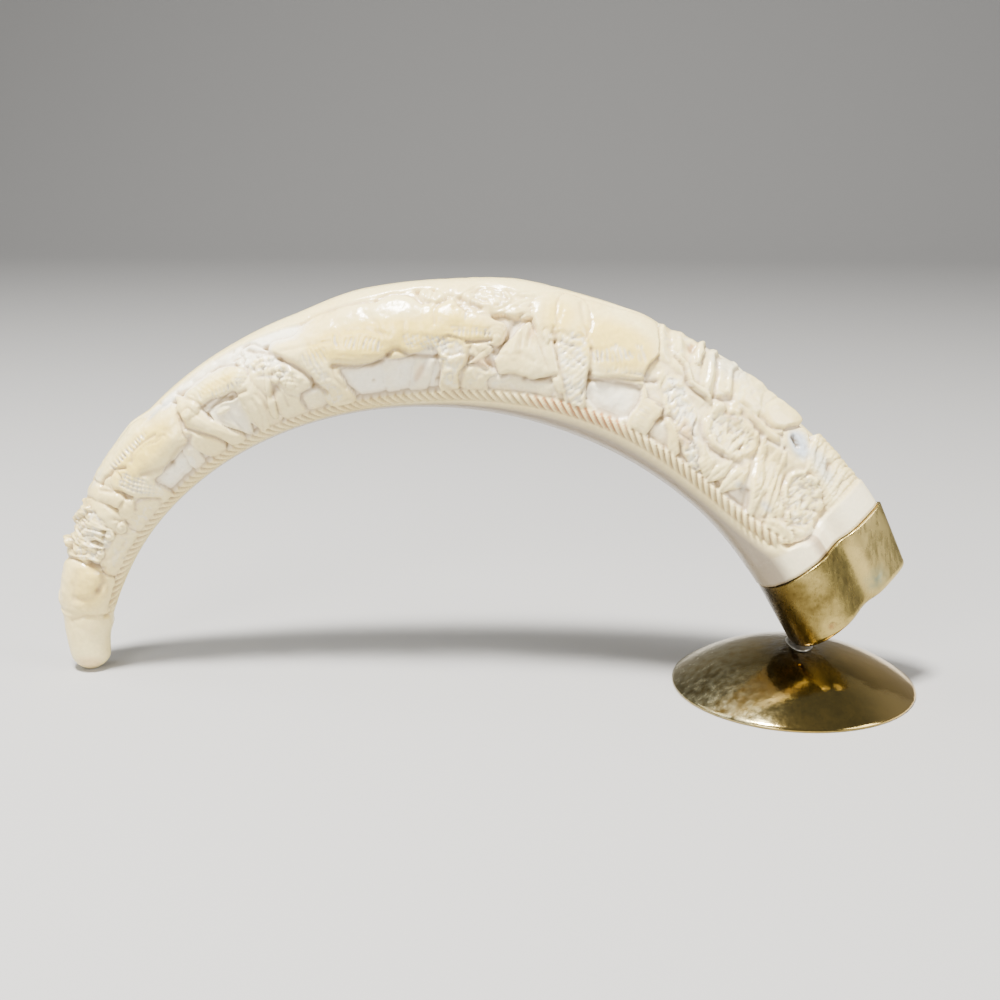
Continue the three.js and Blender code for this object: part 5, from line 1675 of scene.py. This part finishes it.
class BuildCollar(bpy.types.Operator):
    """Form the brass collar"""

    bl_idname = "carved_tooth.build_collar"
    bl_label = "Form the collar"

    def execute(self, context):
        settings = context.scene.collar_settings
        wall = settings.wall / MM
        profile = self.profile(wall, settings.edge / MM, settings.foot_edge / MM)
        bm = bmesh.new()
        green, copper, painted_reflection_share, painted_shade = mark_layers(bm, "green", "copper", "painted_reflection_share", "painted_shade")
        rings = stack_rings(bm, COLLAR_SIDES, len(profile))
        for ring, (down, inset) in zip(rings, profile):
            for vert in ring:
                turn = math.atan2(vert.co.y, vert.co.x)
                seen = math.cos(turn) > 0 and inset < wall / 2
                across = COLLAR_HALF_WIDTH_TOP * math.sin(turn)
                vert[green] = seen * self.spot(across, down, GREEN_SPOT, GREEN_REACH)
                vert[copper] = seen * self.spot(across, down, COPPER_SPOT, COPPER_REACH)
                # Painted light: a painted reflection brightens the right side, painted shade
                # darkens the left
                leaning = across + down * COLLAR_PAINTED_SHADE_LEAN
                vert[painted_reflection_share] = COLLAR_PAINTED_REFLECTION * float(smooth(*COLLAR_PAINTED_REFLECTION_SPAN, across))
                vert[painted_shade] = 1 - float(smooth(*COLLAR_PAINTED_SHADE_SPAN, leaning))
                place = collar_places(down / COLLAR_LENGTH, np.array(turn), inset)
                vert.co = in_part_frame(place)
        close_ends(bm)
        bmesh.ops.recalc_face_normals(bm, faces=bm.faces[:])
        material = brass_material("collar brass", settings, 0.24)
        piece = new_piece("brass_collar_looks", bm, material)
        dress(piece, "brass_collar")
        return {"FINISHED"}

    @staticmethod
    def profile(wall, edge, foot):
        """From the inner floor up over the rim and down to the foot, as (down, inset)."""
        turns = [i / CORNER_STEPS * math.pi / 2 for i in range(CORNER_STEPS, -1, -1)]
        rim = [(edge * (1 - math.sin(a)), edge * (1 - math.cos(a))) for a in turns]
        body = np.linspace(edge, COLLAR_LENGTH - foot, COLLAR_LEVELS)[1:-1]
        corner = [
            (COLLAR_LENGTH - foot * (1 - math.cos(a)), foot * (1 - math.sin(a)))
            for a in turns
        ]
        inside = [(COLLAR_LENGTH - COLLAR_FLOOR, wall), (0, wall)]
        return [*inside, *rim, *[(level, 0) for level in body], *corner]

    @staticmethod
    def spot(across, down, middle, reach):
        away = math.hypot(across - middle[0], (down - middle[1]) * 1.3)
        return float(np.clip(1.2 - away / reach, 0, 1))


class BuildDish(bpy.types.Operator):
    """Spin the domed dish"""

    bl_idname = "carved_tooth.build_dish"
    bl_label = "Spin the dish"

    def execute(self, context):
        settings = context.scene.dish_settings
        radius, dome = dish_dome(settings)
        ledge = radius - settings.ledge
        edge = DISH_EDGE * MM
        outer = [radius * i / DISH_RINGS for i in range(DISH_RINGS)]
        inner = [ledge * i / DISH_INNER_RINGS for i in range(DISH_INNER_RINGS, -1, -1)]
        profile = [
            *[(away, dome(away)) for away in outer],
            (radius - 0.8 * edge, settings.rim + 0.02 * MM),
            (radius, settings.rim * 0.7),
            (radius, edge),
            (radius - edge, 0),
            (ledge, 0),
            *[(away, dome(away) - settings.sheet) for away in inner],
        ]
        bm = bmesh.new()
        verts = [bm.verts.new((away, 0, z)) for away, z in profile]
        edges = [bm.edges.new(pair) for pair in zip(verts, verts[1:])]
        bmesh.ops.spin(
            bm,
            geom=[*verts, *edges],
            axis=(0, 0, 1),
            cent=(0, 0, 0),
            angle=2 * math.pi,
            steps=DISH_SIDES,
            use_merge=True,
        )
        bmesh.ops.remove_doubles(bm, verts=bm.verts[:], dist=1e-6)
        green, smear, painted_reflection_share = mark_layers(bm, "green", "copper", "painted_reflection_share")
        for vert in bm.verts:
            over = vert.co.z > dome(vert.co.xy.length) - settings.sheet / 2
            right, back = vert.co.x / MM, vert.co.y / MM
            away = math.hypot(right * 1.15, back * 0.8)
            # Painted reflections: grey-green on the left side, bright and warm on the right side
            warm = right - abs(back - DISH_PAINTED_REFLECTION_MIDDLE) * 0.35
            vert[smear] = over * SMEAR * (1 - float(smooth(*SMEAR_SPAN, away)))
            vert[green] = over * DISH_GREEN_REFLECTION * float(smooth(*DISH_GREEN_REFLECTION_SPAN, -right))
            vert[painted_reflection_share] = over * DISH_PAINTED_REFLECTION * float(smooth(*DISH_PAINTED_REFLECTION_SPAN, warm))
        low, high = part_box("foot_dish")
        middle = (low + high) / 2
        bmesh.ops.translate(bm, verts=bm.verts[:], vec=Vector((middle.x, middle.y, 0)))
        bmesh.ops.recalc_face_normals(bm, faces=bm.faces[:])
        material = brass_material("dish brass", settings, 0.1)
        piece = new_piece("foot_dish_looks", bm, material)
        dress(piece, "foot_dish")
        return {"FINISHED"}


class BuildSolder(bpy.types.Operator):
    """Run the solder under the collar"""

    bl_idname = "carved_tooth.build_solder"
    bl_label = "Run the solder"

    def execute(self, context):
        settings = context.scene.solder_settings
        dome = dish_dome(context.scene.dish_settings)[1]
        corner = collar_places(1, np.array(-math.pi / 2), 0)
        heading = math.radians(COLLAR_FOOT_HEADING)
        rng = np.random.default_rng(5)

        def place(share, angle, top):
            x = SOLDER_X + SOLDER_WIDTH / 2 * share * math.cos(angle)
            y = SOLDER_LENGTH / 2 * share * math.sin(angle)
            away = math.hypot(x - DISH_MIDDLE[0], y - DISH_MIDDLE[1])
            z = dome(away * MM) / MM + FIT_GAP
            if top:
                under = (x - corner[0]) / -math.tan(heading)
                beside = (corner[0] - x) * SOLDER_SLOPE
                limit = corner[2] - SOLDER_CLEARANCE + (under if x > corner[0] else beside)
                lump = 1 + SOLDER_LUMPS * rng.random()
                mound = z + settings.height / MM * (1 - share**2) * lump
                z = max(min(mound, limit), z + SOLDER_LEAST)
            return in_part_frame(np.array([x, y, z]))

        levels = [(share, True) for share in SOLDER_SHARES] + [(1, False)]
        levels += [(share, False) for share in reversed(SOLDER_SHARES)]
        bm = bmesh.new()
        rings = stack_rings(bm, SOLDER_SIDES, len(levels))
        for ring, (share, top) in zip(rings, levels):
            for vert in ring:
                vert.co = place(share, math.atan2(vert.co.y, vert.co.x), top)
        close_ends(bm)
        bmesh.ops.recalc_face_normals(bm, faces=bm.faces[:])
        piece = new_piece("solder_joint_looks", bm, solder_material(settings.metal))
        dress(piece, "solder_joint")
        return {"FINISHED"}


class BuildStage(bpy.types.Operator):
    """Lay the floor, hang the lights and set the camera"""

    bl_idname = "carved_tooth.build_stage"
    bl_label = "Set the stage"

    def execute(self, context):
        settings = context.scene.stage_settings
        self.lay_floor(settings.floor)
        for light in LIGHTS:
            self.hang_light(*light)
        world = bpy.data.worlds.new("studio")
        world.use_nodes = True
        backdrop = world.node_tree.nodes["Background"]
        backdrop.inputs["Color"].default_value = opaque(WORLD_COLOUR)
        backdrop.inputs["Strength"].default_value = WORLD_STRENGTH
        context.scene.world = world
        data = bpy.data.cameras.new("camera")
        data.sensor_width = 36
        data.lens = settings.lens
        camera = bpy.data.objects.new("camera", data)
        context.scene.collection.objects.link(camera)
        heading = Vector(settings.camera_heading)
        turned = heading.to_track_quat("-Z", "Y").to_matrix().to_4x4()
        camera.matrix_world = Matrix.Translation(settings.camera_place) @ turned
        context.scene.camera = camera
        return {"FINISHED"}

    @staticmethod
    def lay_floor(colour):
        bm = bmesh.new()
        bmesh.ops.create_grid(bm, x_segments=1, y_segments=1, size=2.0)
        back = [e for e in bm.edges if all(v.co.y > 1 for v in e.verts)]
        grown = bmesh.ops.extrude_edge_only(bm, edges=back)["geom"]
        raised = [g for g in grown if isinstance(g, bmesh.types.BMVert)]
        bmesh.ops.translate(bm, verts=raised, vec=(0, 0, 2.0))
        bmesh.ops.bevel(
            bm,
            geom=back,
            offset=0.8,
            offset_type="OFFSET",
            segments=16,
            profile=0.5,
            affect="EDGES",
            material=-1,
        )
        material, shader = start_material("floor")
        shader.inputs["Base Color"].default_value = opaque(colour)
        shader.inputs["Roughness"].default_value = 0.85
        floor = new_piece("floor", bm, material)

    @staticmethod
    def hang_light(name, place, size, power, colour):
        data = bpy.data.lights.new(name, "AREA")
        data.shape = "SQUARE"
        data.size = size
        data.energy = power
        data.color = colour
        light = bpy.data.objects.new(name, data)
        bpy.context.scene.collection.objects.link(light)
        aim = Vector(LIGHT_AIM) - Vector(place)
        turned = aim.to_track_quat("-Z", "Y").to_matrix().to_4x4()
        light.matrix_world = Matrix.Translation(place) @ turned


class CarvedToothPanel(bpy.types.Panel):
    bl_idname = "VIEW3D_PT_carved_tooth"
    bl_label = "Carved tooth"
    bl_space_type = "VIEW_3D"
    bl_region_type = "UI"
    bl_category = "Carved tooth"

    def draw(self, context):
        for operator in OPERATORS:
            self.layout.operator(operator.bl_idname)
        for name in SETTINGS:
            box = self.layout.box()
            group = getattr(context.scene, name)
            for prop in group.bl_rna.properties:
                if prop.identifier not in ("rna_type", "name"):
                    box.prop(group, prop.identifier)


OPERATORS = (BuildStage, BuildTooth, BuildCollar, BuildDish, BuildSolder)

SETTINGS = {
    "tooth_settings": ToothSettings,
    "collar_settings": CollarSettings,
    "dish_settings": DishSettings,
    "solder_settings": SolderSettings,
    "stage_settings": StageSettings,
}


def register():
    for made in (*SETTINGS.values(), *OPERATORS, CarvedToothPanel):
        bpy.utils.register_class(made)
    for name, made in SETTINGS.items():
        setattr(bpy.types.Scene, name, bpy.props.PointerProperty(type=made))


def unregister():
    for name in SETTINGS:
        delattr(bpy.types.Scene, name)
    for made in (CarvedToothPanel, *OPERATORS, *SETTINGS.values()):
        bpy.utils.unregister_class(made)


def main():
    register()
    bpy.ops.carved_tooth.build_stage()
    bpy.ops.carved_tooth.build_tooth()
    bpy.ops.carved_tooth.build_collar()
    bpy.ops.carved_tooth.build_dish()
    bpy.ops.carved_tooth.build_solder()


if __name__ == "__main__":
    main()
